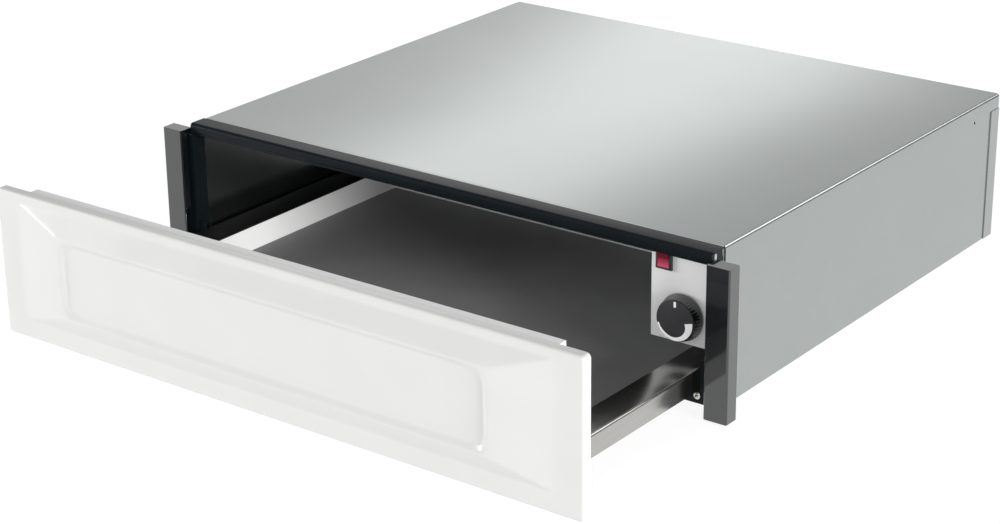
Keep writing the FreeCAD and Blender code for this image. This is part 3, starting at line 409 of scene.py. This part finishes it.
def thicken(piece, thickness, edge=0.0):  # the sheet's far side lies behind its faces
    solid = piece.modifiers.new("sheet", "SOLIDIFY")
    solid.thickness = thickness * mm
    solid.offset = -1.0
    solid.use_even_offset = True
    if edge:
        bevel = piece.modifiers.new("cut edge", "BEVEL")
        bevel.width = edge * mm
        bevel.segments = 1
        bevel.limit_method = "ANGLE"
        bevel.angle_limit = math.radians(cutEdgeAngle)
    return settle(piece)


# The pressed front
def enamelledFront():
    size = dict(half=298.5, low=2.0, high=132.0, face=-9.1, back=-0.5, sheet=1.2, corner=4.0, edge=2.4,
                borderSide=24.3, borderTop=8.0, borderBottom=17.5, bevelSide=53.7, bevelTop=17.5,
                bevelBottom=15.5, bulge=9.0, fieldRadius=16.0, recess=3.0, recessRun=7.0, soft=0.8,
                mitre=0.1, rimBend=-4.0)
    corner, mitre, run = size["corner"], size["mitre"], size["recessRun"]
    footX = size["half"] - size["borderSide"]
    footLow, footHigh = size["low"] + size["borderBottom"], size["high"] - size["borderTop"]
    fieldX = footX - size["bevelSide"]
    fieldLow, fieldHigh = footLow + size["bevelBottom"], footHigh - size["bevelTop"]
    middle, tall = (fieldLow + fieldHigh) / 2, (fieldHigh - fieldLow) / 2

    def softMin(a, b, k):  # the lesser of two, with the crossing rounded over k
        mix = max(k - abs(a - b), 0.0) / k
        return min(a, b) - mix * mix * k / 4

    def rise(x, z):  # how far the face stands out at a place: bevels up, then the field's recess
        upright = softMin((footHigh - z) / size["bevelTop"], (z - footLow) / size["bevelBottom"], mitre)
        ramp = softMin((footX - x) / size["bevelSide"], upright, mitre) * size["bulge"]
        ramp = -softMin(-ramp, 0.0, size["soft"])
        ramp = softMin(ramp, size["bulge"], size["soft"])
        dx = x - fieldX + size["fieldRadius"]
        dz = abs(z - middle) - tall + size["fieldRadius"]
        outside = math.hypot(max(dx, 0), max(dz, 0)) + min(max(dx, dz), 0) - size["fieldRadius"]
        t = min(max(-outside / run, 0.0), 1.0)
        return ramp - size["recess"] * t * t * (3 - 2 * t)

    def lines(start, marks):  # each mark: a position, and the mesh step on the way to it
        out = [start]
        for end, step in marks:
            begin = out[-1]
            count = max(1, round(abs(end - begin) / step))
            out += [begin + (end - begin) * (i + 1) / count for i in range(count)]
        return out

    def rimLines(edge, way):
        return [(edge - way * corner, 2.4), (edge - way * 1.4, 1.0), (edge - way * 0.4, 0.35), (edge, 0.2)]

    sideX = lines(0.0, [(fieldX - run - 2, 12), (fieldX + 2, 0.8), (footX - 7, 2.6), (footX + 5, 1.0)]
                  + rimLines(size["half"], 1))
    upper = lines(middle, [(fieldHigh - run - 2, 3.2), (fieldHigh + 2, 0.7), (footHigh - 3, 1.3),
                           (size["high"] - corner, 0.8)] + rimLines(size["high"], 1)[1:])
    lower = lines(middle, [(fieldLow + run + 2, 3.2), (fieldLow - 2, 0.7), (footLow + 3, 1.3),
                           (footLow - 3, 0.8)] + rimLines(size["low"], -1))
    allX = [-x for x in reversed(sideX[1:])] + sideX
    allZ = list(reversed(lower[1:])) + upper
    innerX = size["half"] - corner
    points = []
    for z in allZ:
        for x in allX:
            edgeZ = size["high"] - corner if z > middle else size["low"] + corner
            u = max(abs(x) - innerX, 0) / corner
            v = max((z - edgeZ) * (1 if z > middle else -1), 0) / corner
            reach = max(u, v)
            px, pz = abs(x), z
            if u > 0 and v > 0:  # the square corner becomes a quarter circle
                px = innerX + corner * u * math.sqrt(1 - v * v / 2)
                pz = edgeZ + math.copysign(corner * v * math.sqrt(1 - u * u / 2), z - middle)
                reach = math.hypot(px - innerX, pz - edgeZ) / corner
            inset = corner * (1 - reach)
            fall = 0.0
            if inset < size["edge"]:
                fall = size["edge"] - math.sqrt(max(size["edge"] ** 2 - (size["edge"] - inset) ** 2, 0))
            points.append((math.copysign(px, x), size["face"] - rise(abs(x), z) + fall, pz))
    wide, high = len(allX), len(allZ)
    faces = []
    for row in range(high - 1):
        for i in range(wide - 1):
            a = row * wide + i
            faces.append((a, a + 1, a + wide + 1, a + wide))
    rim = list(range(wide)) + [r * wide + wide - 1 for r in range(1, high)]
    rim += [(high - 1) * wide + i for i in range(wide - 2, -1, -1)]
    rim += [r * wide for r in range(high - 2, 0, -1)]
    last = rim
    for y in (size["rimBend"], size["back"]):
        ring = []
        for index in rim:
            ring.append(len(points))
            points.append((points[index][0], y, points[index][2]))
        for i in range(len(rim)):
            j = (i + 1) % len(rim)
            faces.append((last[j], last[i], ring[i], ring[j]))
        last = ring
    piece = newPiece("enamelledFront", points, faces, "white_enamel", drawerOpen)
    thicken(piece, size["sheet"])
    return handOver(piece, "drawer", "white_enamel", "front_panel")


enamelledFront()
print("front pressed")


# Housing sheets
def topCover():
    size = dict(half=273.0, front=29.0, back=500.0, top=137.0, flange=13.0, sheet=1.0, bend=2.6, notch=2.0,
                cutEdge=0.2)
    half, bend = size["half"], size["bend"]
    low = size["top"] - size["flange"]
    across = bent([(-half, low), (-half, size["top"]), (half, size["top"]), (half, low)], bend)
    along = bent([(size["front"], size["top"]), (size["back"], size["top"]), (size["back"], low)], bend)
    bendEnd = size["back"] - bend
    cover = swept(across, [size["front"] + size["notch"], bendEnd], lambda p, s: (p.x, s, p.y))
    lip = swept(bent([(-half + size["notch"], 0), (half - size["notch"], 0)], []),
                [size["front"], size["front"] + size["notch"]], lambda p, s: (p.x, s, size["top"]))
    rear = swept([p for p in along if p.x >= bendEnd - weldGap], [-half + bend, half - bend],
                 lambda p, s: (s, p.x, p.y))
    points, faces = merged(cover, lip, (rear[0], [tuple(reversed(f)) for f in rear[1]]))
    piece = newPiece("topCover", points, faces, "galvanised_steel")
    thicken(piece, size["sheet"], size["cutEdge"])
    return handOver(piece, "housing", "galvanised_steel", "top_cover")


topCover()


def collarBar():
    size = dict(half=273.0, front=11.0, depth=18.0, low=125.7, top=137.0, lip=4.0, sheet=1.2, cutEdge=0.3,
                step=(1.6, 3.2), bends=(1.3, 0.35, 1.25, 3.2), endGap=0.04, endTopGap=0.6,
                endDepth=15.0, slotFrom=14.8, slotTo=18.6, slotLow=129.7, slotHigh=135.2)
    front, top, low = size["front"], size["top"], size["low"]
    foot, tread = size["step"]  # the lower edge is joggled back under the front
    corners = [(front + size["lip"], low), (front + foot, low), (front + foot, low + tread),
               (front, low + tread), (front, top), (front + size["depth"], top)]
    path = bent(corners, size["bends"])
    barHalf = size["half"] - size["endGap"]
    bar = swept(path, [-barHalf, barHalf], lambda p, s: (s, p.x, p.y))
    piece = newPiece("collarBar", *bar, "black_steel", turned=True)
    thicken(piece, size["sheet"], size["cutEdge"])
    depths = [front, front + size["sheet"], size["slotFrom"], size["slotTo"], front + size["endDepth"]]
    heights = [low, size["slotLow"], size["slotHigh"], top - size["endTopGap"]]
    aroundSlot = (0, 1, 2, 3, 6, 8, 11, 12, 13)  # lower left corners of the quads that leave the slot open
    row = len(depths)
    ends = []
    for side in (-1, 1):
        points = [(side * size["half"], y, z) for z in heights for y in depths]
        quads = [(a, a + 1, a + row + 1, a + row) for a in aroundSlot]
        ends.append((points, [q if side > 0 else q[::-1] for q in quads]))
    cheeks = newPiece("collarEnds", *merged(*ends), "black_steel")
    thicken(cheeks, size["sheet"])
    handOver(cheeks, "housing", "black_steel", "collar_top")
    return handOver(piece, "housing", "black_steel", "collar_top")


def slottedTabs():  # bright tabs of the side panels, hooked through the slots in the collar's ends
    size = dict(inner=271.0, outer=271.7, nose=272.8, front=15.0, back=29.0, noseBack=18.4, low=129.9,
                high=135.0)
    points, faces = [], []
    for side in (-1, 1):
        outline = [(size["nose"], size["front"]), (size["nose"], size["noseBack"]),
                   (size["outer"], size["noseBack"]), (size["outer"], size["back"]),
                   (size["inner"], size["back"]), (size["inner"], size["front"])]
        base = len(points)
        for z in (size["low"], size["high"]):
            points += [(side * x, y, z) for x, y in outline]
        n = len(outline)
        loops = [tuple(range(n)), tuple(range(2 * n - 1, n - 1, -1))]
        loops += [(i, i + n, (i + 1) % n + n, (i + 1) % n) for i in range(n)]
        faces += [tuple(base + i for i in (loop if side < 0 else loop[::-1])) for loop in loops]
    piece = newPiece("slottedTabs", points, faces, "zinc_plated", closed=True)
    return handOver(piece, "housing", "zinc_plated")


collarBar()
slottedTabs()
print("housing sheets folded")


# Drawer tray
def foldedTray():
    size = dict(inner=235.0, outer=262.5, floor=13.0, top=38.0, skirt=20.0, sheet=0.8, front=10.4,
                rear=432.0, ledgeBend=1.6, edgeBend=1.8, floorBend=0.9, cutEdge=0.12, wallDrop=0.1,
                wingDrop=0.6, bendSteps=6)
    side, outer, top, floor = size["inner"], size["outer"], size["top"], size["floor"]
    front, rear, s = size["front"], size["rear"], size["sheet"]
    corners = [(-outer, size["skirt"]), (-outer, top), (-side, top), (-side, floor),
               (side, floor), (side, top), (outer, top), (outer, size["skirt"])]
    bends = [size[k] for k in ("edgeBend", "ledgeBend", "floorBend", "floorBend", "ledgeBend", "edgeBend")]
    path = bent(corners, bends, size["bendSteps"])
    well = swept(path, [front + s / 2, rear - s / 2], lambda p, y: (p.x, y, p.y))
    piece = newPiece("foldedTray", *well, "polished_stainless", drawerOpen, turned=True)
    thicken(piece, s, size["cutEdge"])
    walls = []
    for depth, inward in ((front + s, 1), (rear - s, -1)):
        low, high = floor - s, top - size["wallDrop"]
        plan = [(-side - s, low), (side + s, low), (side + s, high), (-side - s, high)]
        walls.append(([(x, depth, z) for x, z in plan], [(0, 1, 2, 3)[::-inward]]))
    for hand in (-1, 1):
        low, high, tip = size["skirt"], top - size["wingDrop"], outer - size["wallDrop"]
        plan = [(side + s, low), (tip, low), (tip, high), (side + s, high)]
        walls.append(([(hand * x, front + s, z) for x, z in plan], [(0, 1, 2, 3)[::-hand]]))
    ends = newPiece("trayEnds", *merged(*walls), "polished_stainless", drawerOpen)
    thicken(ends, s)
    handOver(ends, "drawer", "polished_stainless", "drawer_tray")
    return handOver(piece, "drawer", "polished_stainless", "drawer_tray")


foldedTray()
print("tray folded")


# Rigid parts that keep their solids' shape, with the edges a press, a mould or a saw leaves
softEdges = {  # node: edge radius in mm
    "post_right": 0.7, "post_left": 0.7, "front_liner": 0.9,
    "collar_side_right": 0.35, "collar_side_left": 0.35,
    "corner_bracket_right": 0.4, "corner_bracket_left": 0.4, "control_box": 0.25, "control_plate": 0.55,
    "thermostat_body": 0.8, "thermostat_nut": 0.3, "switch_body": 0.5, "switch_rocker": 0.7,
    "knob_marks": 0.1,
    "drawer_mat": 0.6, "side_panel_right": 0.3, "side_panel_left": 0.3, "base_plate": 0.3, "rear_panel": 0.3,
    "slide_support_right": 0.5, "slide_support_left": 0.5, "slide_outer_right": 0.4, "slide_outer_left": 0.4,
    "slide_middle_right": 0.4, "slide_middle_left": 0.4, "slide_inner_right": 0.4, "slide_inner_left": 0.4,
    "latch_body": 0.6, "terminal_block": 0.5, "fan_stator": 0.3, "fan_bridges": 0.3, "fan_coil": 1.5,
    "cable_gland": 0.5, "overheat_cutout": 0.6, "bulb_clip": 0.3,
}
for node, radius in softEdges.items():
    first, *others = node.split("_")
    rounded(first + "".join(word.capitalize() for word in others), node, radius)
print("edges broken:", len(softEdges))


# Geometry nodes: a tree takes its sizes from named inputs and ends in real geometry with its finish
def newTree(name, numbers):
    tree = bpy.data.node_groups.new(name, "GeometryNodeTree")
    tree.interface.new_socket("Geometry", in_out="OUTPUT", socket_type="NodeSocketGeometry")
    tree.interface.new_socket("Geometry", in_out="INPUT", socket_type="NodeSocketGeometry")
    for label, value in numbers.items():
        kind = "NodeSocketInt" if isinstance(value, int) else "NodeSocketFloat"
        tree.interface.new_socket(label, in_out="INPUT", socket_type=kind).default_value = value
    tree.interface.new_socket("Finish", in_out="INPUT", socket_type="NodeSocketMaterial")
    return tree, addNode(tree, "NodeGroupInput").outputs


def endTree(tree, shape, finishSocket):
    solid = addNode(tree, "GeometryNodeRealizeInstances", {0: shape})
    dressed = addNode(tree, "GeometryNodeSetMaterial", {"Geometry": solid, "Material": finishSocket})
    addNode(tree, "NodeGroupOutput", {0: dressed})


def grown(piece, tree, slot, **numbers):  # the tree's result as the piece's own mesh
    modifier = piece.modifiers.new("growth", "NODES")
    modifier.node_group = tree
    for item in tree.interface.items_tree:
        if item.in_out == "INPUT" and item.name in numbers:
            modifier[item.identifier] = numbers[item.name]
        if item.in_out == "INPUT" and item.name == "Finish":
            modifier[item.identifier] = finish[slot]
    settle(piece)
    return piece


def panScrewTree():  # a domed head with a cross in it, and its shank, at every point of the piece
    sizes = {"Head radius": 3.0 * mm, "Head height": 1.8 * mm, "Cross reach": 1.7 * mm,
             "Cross width": 0.55 * mm, "Cross depth": 0.9 * mm, "Shank radius": 1.4 * mm,
             "Shank length": 4.0 * mm, "Tilt": 0.0, "Seed": 7}
    dome = dict(segments=28, rings=14, wide=1.12, tall=0.78, lift=0.32)  # shares of the head's own sizes
    tree, given = newTree("panScrews", sizes)
    headRadius, headHeight, crossWidth = given["Head radius"], given["Head height"], given["Cross width"]

    ball = {"Segments": dome["segments"], "Rings": dome["rings"], "Radius": 1.0}
    ball = addNode(tree, "GeometryNodeMeshUVSphere", ball)
    wide = addNode(tree, "ShaderNodeMath", {0: headRadius, 1: dome["wide"]}, operation="MULTIPLY")
    tall = addNode(tree, "ShaderNodeMath", {0: headHeight, 1: dome["tall"]}, operation="MULTIPLY")
    lift = addNode(tree, "ShaderNodeMath", {0: headHeight, 1: dome["lift"]}, operation="MULTIPLY")
    domeSize = addNode(tree, "ShaderNodeCombineXYZ", {0: wide, 1: wide, 2: tall})
    domePlace = addNode(tree, "ShaderNodeCombineXYZ", {2: lift})
    top = {"Geometry": ball, "Translation": domePlace, "Scale": domeSize}
    top = addNode(tree, "GeometryNodeTransform", top)

    slug = {"Vertices": dome["segments"], "Radius": headRadius, "Depth": headHeight}
    slug = addNode(tree, "GeometryNodeMeshCylinder", slug)
    half = addNode(tree, "ShaderNodeMath", {0: headHeight, 1: 0.5}, operation="MULTIPLY")
    slugPlace = addNode(tree, "ShaderNodeCombineXYZ", {2: half})
    slug = addNode(tree, "GeometryNodeTransform", {"Geometry": slug, "Translation": slugPlace})
    head = addNode(tree, "GeometryNodeMeshBoolean", {1: top}, operation="INTERSECT")
    tree.links.new(slug.outputs[0], head.inputs[1])

    deep = addNode(tree, "ShaderNodeMath", {0: given["Cross depth"], 1: 2.0}, operation="MULTIPLY")
    long = addNode(tree, "ShaderNodeMath", {0: given["Cross reach"], 1: 2.0}, operation="MULTIPLY")
    crossPlace = addNode(tree, "ShaderNodeCombineXYZ", {2: headHeight})
    cross = addNode(tree, "GeometryNodeJoinGeometry")
    for across, along in ((long, crossWidth), (crossWidth, long)):
        armSize = addNode(tree, "ShaderNodeCombineXYZ", {0: across, 1: along, 2: deep})
        arm = addNode(tree, "GeometryNodeMeshCube", {"Size": armSize})
        arm = addNode(tree, "GeometryNodeTransform", {"Geometry": arm, "Translation": crossPlace})
        tree.links.new(arm.outputs[0], cross.inputs[0])
    cut = addNode(tree, "GeometryNodeMeshBoolean", {0: head, 1: cross}, operation="DIFFERENCE")

    shank = {"Vertices": 16, "Radius": given["Shank radius"], "Depth": given["Shank length"]}
    shank = addNode(tree, "GeometryNodeMeshCylinder", shank)
    down = addNode(tree, "ShaderNodeMath", {0: given["Shank length"], 1: -0.5}, operation="MULTIPLY")
    shankPlace = addNode(tree, "ShaderNodeCombineXYZ", {2: down})
    shank = addNode(tree, "GeometryNodeTransform", {"Geometry": shank, "Translation": shankPlace})
    whole = addNode(tree, "GeometryNodeJoinGeometry", {0: cut})
    tree.links.new(shank.outputs[0], whole.inputs[0])

    places = addNode(tree, "GeometryNodeMeshToPoints", {"Mesh": given["Geometry"]})
    lean = addNode(tree, "ShaderNodeCombineXYZ", {0: given["Tilt"]})
    upright = {"Points": places, "Instance": whole, "Rotation": lean}
    upright = addNode(tree, "GeometryNodeInstanceOnPoints", upright)
    turn = {2: 0.0, 3: math.pi / 2, "Seed": given["Seed"]}
    turn = addNode(tree, "FunctionNodeRandomValue", turn, data_type="FLOAT")
    aboutAxis = addNode(tree, "ShaderNodeCombineXYZ", {2: turn.outputs[1]})
    spun = {0: upright, "Rotation": aboutAxis, "Local Space": True}
    spun = addNode(tree, "GeometryNodeRotateInstances", spun)
    endTree(tree, spun, given["Finish"])
    return tree


def panScrews():
    size = dict(post=(283.25, 12.2, (30.0, 98.7), 9.0), bracket=(261.5, 12.9, 15.0, 5.0),
                front=((199.75, 82.25), 11.2, 27.5, 3.5), rear=(265.0, 499.0, (36.0, 74.0, 112.0), 4.0),
                cover=(235.0, 500.0, 130.5, 5.0))  # each: across, depth, height, shank
    tree = panScrewTree()
    towardsRear, towardsFront = -math.pi / 2, math.pi / 2
    postX, postY, postZ, postShank = size["post"]
    bracketX, bracketY, bracketZ, bracketShank = size["bracket"]
    frontX, frontY, frontZ, frontShank = size["front"]
    rearX, rearY, rearZ, rearShank = size["rear"]
    coverX, coverY, coverZ, coverShank = size["cover"]
    groups = {  # piece: node, body, opened, tilt, shank, places
        "postScrews": ("post_screws", "housing", 0, towardsRear, postShank,
                       [(s * postX, postY, z) for s in (-1, 1) for z in postZ]),
        "bracketScrews": ("bracket_screws", "housing", 0, towardsFront, bracketShank,
                          [(s * bracketX, bracketY, bracketZ) for s in (-1, 1)]),
        "frontScrews": ("front_screws", "drawer", drawerOpen, towardsRear, frontShank,
                        [(s * x, frontY, frontZ) for s in (-1, 1) for x in frontX]),
        "rearScrews": ("rear_screws", "housing", 0, towardsRear, rearShank,
                       [(s * rearX, rearY, z) for s in (-1, 1) for z in rearZ]),
        "coverScrews": ("cover_screws", "housing", 0, towardsRear, coverShank,
                        [(s * coverX, coverY, coverZ) for s in (-1, 0, 1)]),
    }
    for name, (node, body, opened, tilt, shank, places) in groups.items():
        piece = newPiece(name, places, [], "zinc_plated", opened)
        grown(piece, tree, "zinc_plated", **{"Tilt": tilt, "Shank length": shank * mm})
        handOver(piece, body, "zinc_plated", node)
        print(name, len(piece.data.polygons))


panScrews()


# Thermostat knob: a flat face let into a tapered skirt, its grip ribs grown round it
def turnedBody(profile, centre, steps=96):  # (radius, depth) pairs turned about the knob's axis
    points = []
    for i in range(steps):
        a = 2 * math.pi * i / steps
        x, z = math.cos(a), math.sin(a)
        points += [(centre[0] + r * x, centre[1] + d, centre[2] + r * z) for r, d in profile]
    n = len(profile)
    faces = []
    for i in range(steps):
        here, there = i * n, (i + 1) % steps * n
        faces += [(here + k, here + k + 1, there + k + 1, there + k) for k in range(n - 1)]
    return points, faces


def gripTree():  # ribs leaning along the skirt, set round it by the ring's number of them
    sizes = {"Ribs": 46, "Rib radius": 0.75 * mm, "Rib length": 8.8 * mm, "Ring radius": 18.0 * mm,
             "Lean": math.radians(14.3), "Middle": 5.4 * mm, "Axis x": 0.0, "Axis y": 0.0, "Axis z": 0.0}
    tree, given = newTree("knobGrip", sizes)
    bar = {"Vertices": 10, "Radius": given["Rib radius"], "Depth": given["Rib length"]}
    bar = addNode(tree, "GeometryNodeMeshCylinder", bar)
    lean = addNode(tree, "ShaderNodeCombineXYZ", {1: given["Lean"]})
    ribPlace = addNode(tree, "ShaderNodeCombineXYZ", {0: given["Ring radius"], 2: given["Middle"]})
    rib = {"Geometry": bar, "Rotation": lean, "Translation": ribPlace}
    rib = addNode(tree, "GeometryNodeTransform", rib)
    row = addNode(tree, "GeometryNodeMeshLine", {"Count": given["Ribs"], "Offset": (0.0, 0.0, 0.0)})
    places = addNode(tree, "GeometryNodeMeshToPoints", {"Mesh": row})
    pitch = addNode(tree, "ShaderNodeMath", {0: 2 * math.pi, 1: given["Ribs"]}, operation="DIVIDE")
    index = addNode(tree, "GeometryNodeInputIndex")
    turn = addNode(tree, "ShaderNodeMath", {0: index, 1: pitch}, operation="MULTIPLY")
    aboutAxis = addNode(tree, "ShaderNodeCombineXYZ", {2: turn})
    ring = {"Points": places, "Instance": rib, "Rotation": aboutAxis}
    ring = addNode(tree, "GeometryNodeInstanceOnPoints", ring)
    axis = addNode(tree, "ShaderNodeCombineXYZ", {0: given["Axis x"], 1: given["Axis y"], 2: given["Axis z"]})
    laid = {"Geometry": ring, "Rotation": (-math.pi / 2, 0.0, 0.0), "Translation": axis}
    laid = addNode(tree, "GeometryNodeTransform", laid)
    whole = addNode(tree, "GeometryNodeJoinGeometry", {0: laid})
    tree.links.new(given["Geometry"], whole.inputs[0])
    endTree(tree, whole, given["Finish"])
    return tree


def ribbedKnob():
    size = dict(centre=(240.0, 11.3, 73.2), face=16.5, faceTurn=(16.9, 0.12), rimTurn=(17.15, 0.45),
                rim=17.25, lip=1.2, faceGap=0.01, inset=0.05, base=19.5, edge=0.2, length=10.2,
                wall=2.5, seat=3.0, hub=6.0, hollow=14.9, hollowFrom=3.5, mouth=16.7)
    rim, base, lip, length = size["rim"], size["base"], size["lip"], size["length"]
    disc = [(0, 0), (size["face"], 0), size["faceTurn"], size["rimTurn"], (rim, lip), (0, lip)]
    face = newPiece("knobFace", *turnedBody(disc, size["centre"]), "black_plastic", closed=True)
    under, edge = lip + size["faceGap"], size["edge"]
    shell = [(0, under), (rim - size["inset"], under), (base, length - edge), (base - edge, length),
             (size["mouth"], length), (size["hollow"], size["hollowFrom"]),
             (size["hub"], size["hollowFrom"]), (size["hub"], length), (size["seat"], length),
             (size["seat"], size["wall"]), (0, size["wall"])]
    skirt = newPiece("knobSkirt", *turnedBody(shell, size["centre"]), "gloss_black", closed=True)
    x, y, z = toRoom(size["centre"])
    grown(skirt, gripTree(), "gloss_black", **{"Axis x": x, "Axis y": y, "Axis z": z})
    handOver(skirt, "knob", "gloss_black", "thermostat_knob")
    handOver(face, "knob", "black_plastic", "thermostat_knob")
    print("knob turned:", len(skirt.data.polygons))


ribbedKnob()


# Camera, floor and light; places here are metres in the room, turns are degrees
def aimCamera():
    shot = dict(sensor=36.0, lens=86.793, farthest=50.0, yaw=37.26, pitch=21.71, roll=-0.69,
                place=(1.17538, -1.69141, 0.81024))
    camera = bpy.data.cameras.new("camera")
    camera.sensor_width = shot["sensor"]
    camera.lens = shot["lens"]
    camera.clip_end = shot["farthest"]
    yaw, pitch, roll = (math.radians(shot[turn]) for turn in ("yaw", "pitch", "roll"))
    ahead = Vector((-math.sin(yaw) * math.cos(pitch), math.cos(yaw) * math.cos(pitch), -math.sin(pitch)))
    right = Vector((math.cos(yaw), math.sin(yaw), 0.0))
    up = right.cross(ahead)
    across = math.cos(roll) * right + math.sin(roll) * up
    upward = -math.sin(roll) * right + math.cos(roll) * up
    seat = Matrix((across, upward, -ahead)).transposed().to_4x4()
    seat.translation = Vector(shot["place"])
    viewer = bpy.data.objects.new("camera", camera)
    viewer.matrix_world = seat
    bpy.context.scene.collection.objects.link(viewer)
    bpy.context.scene.camera = viewer


def layFloor():  # a pale sheet lit from below, so that no edge or pool of light shows on it
    size = dict(reach=12.0, colour="#7A7A7A", roughness=0.9, glow=0.88)
    mesh = bpy.data.meshes.new("studioFloor")
    reach = size["reach"]
    mesh.from_pydata([(-reach, -reach, 0), (reach, -reach, 0), (reach, reach, 0), (-reach, reach, 0)],
                     [], [(0, 1, 2, 3)])
    floor = bpy.data.objects.new("studioFloor", mesh)
    bpy.context.scene.collection.objects.link(floor)
    pale, _, shader, _ = newMaterial("paleFloor", size["colour"], size["roughness"])
    shader.inputs["Specular IOR Level"].default_value = 0.0
    shader.inputs["Emission Color"].default_value = (1, 1, 1, 1)
    shader.inputs["Emission Strength"].default_value = size["glow"]
    mesh.materials.append(pale)


def lightRoom():  # a dim even room with wide pale walls behind and in front
    room = dict(base=0.28, walls=(  # each wall: its direction, its level, how tightly it is bound
        ((-0.583, 0.758, 0.292), 0.45, 4.0),
        ((0.48, -0.85, 0.22), 0.45, 3.0),
    ))
    world = bpy.data.worlds.new("studio")
    bpy.context.scene.world = world
    world.use_nodes = True
    sky = world.node_tree
    towards = addNode(sky, "ShaderNodeTexCoord").outputs["Generated"]
    level = room["base"]
    for direction, strength, sharpness in room["walls"]:
        facing = addNode(sky, "ShaderNodeVectorMath", {0: towards, 1: direction}, operation="DOT_PRODUCT")
        ahead = addNode(sky, "ShaderNodeMath", {0: facing.outputs["Value"], 1: 0.0}, operation="MAXIMUM")
        wall = addNode(sky, "ShaderNodeMath", {0: ahead, 1: sharpness}, operation="POWER")
        level = addNode(sky, "ShaderNodeMath", {0: wall, 1: strength, 2: level}, operation="MULTIPLY_ADD")
    backdrop = sky.nodes["Background"]
    sky.links.new(level.outputs[0], backdrop.inputs["Strength"])
    backdrop.inputs["Color"].default_value = (1, 1, 1, 1)


def hangSoftboxes():
    boxes = {  # each box: centre, target, width and height, watts, lean about its own axis
        "rearBand": ((-2.18, 2.9, 1.37), (0, 0, 0.14), (0.76, 2.8), 5.8, -48.0),
        "overhead": ((0, 0, 3.0), (0, 0, 0), (2.0, 2.0), 48.0, 0.0),
        "rimLight": ((1.15, 2.2, 1.75), (0.1, 0, 0.1), (1.3, 1.0), 12.0, 0.0),
        "frontKey": ((1.0, -3.3, 1.2), (0, -0.1, 0.05), (1.4, 1.2), 16.0, 0.0),
        "rightKey": ((2.86, -0.98, 0.63), (-0.235, -0.12, 0.03), (0.9, 0.65), 80.0, 0.0),
        "leftKey": ((-2.9, -1.6, 0.5), (0, -0.4, 0.06), (1.4, 0.8), 90.0, 0.0),
    }
    for name, (centre, target, (width, height), power, lean) in boxes.items():
        lamp = bpy.data.lights.new(name, "AREA")
        lamp.shape = "RECTANGLE"
        lamp.size, lamp.size_y, lamp.energy = width, height, power
        box = bpy.data.objects.new(name, lamp)
        away = (Vector(centre) - Vector(target)).normalized()
        level = Vector((0, 0, 1)).cross(away).normalized()
        tall = Matrix.Rotation(math.radians(lean), 4, away) @ away.cross(level)
        wide = tall.cross(away)
        box.matrix_world = Matrix.Translation(centre) @ Matrix((wide, tall, away)).transposed().to_4x4()
        bpy.context.scene.collection.objects.link(box)


aimCamera()
layFloor()
lightRoom()
hangSoftboxes()
print("camera and light set")

view = bpy.context.scene.view_settings
view.view_transform = "Standard"
view.look = "None"
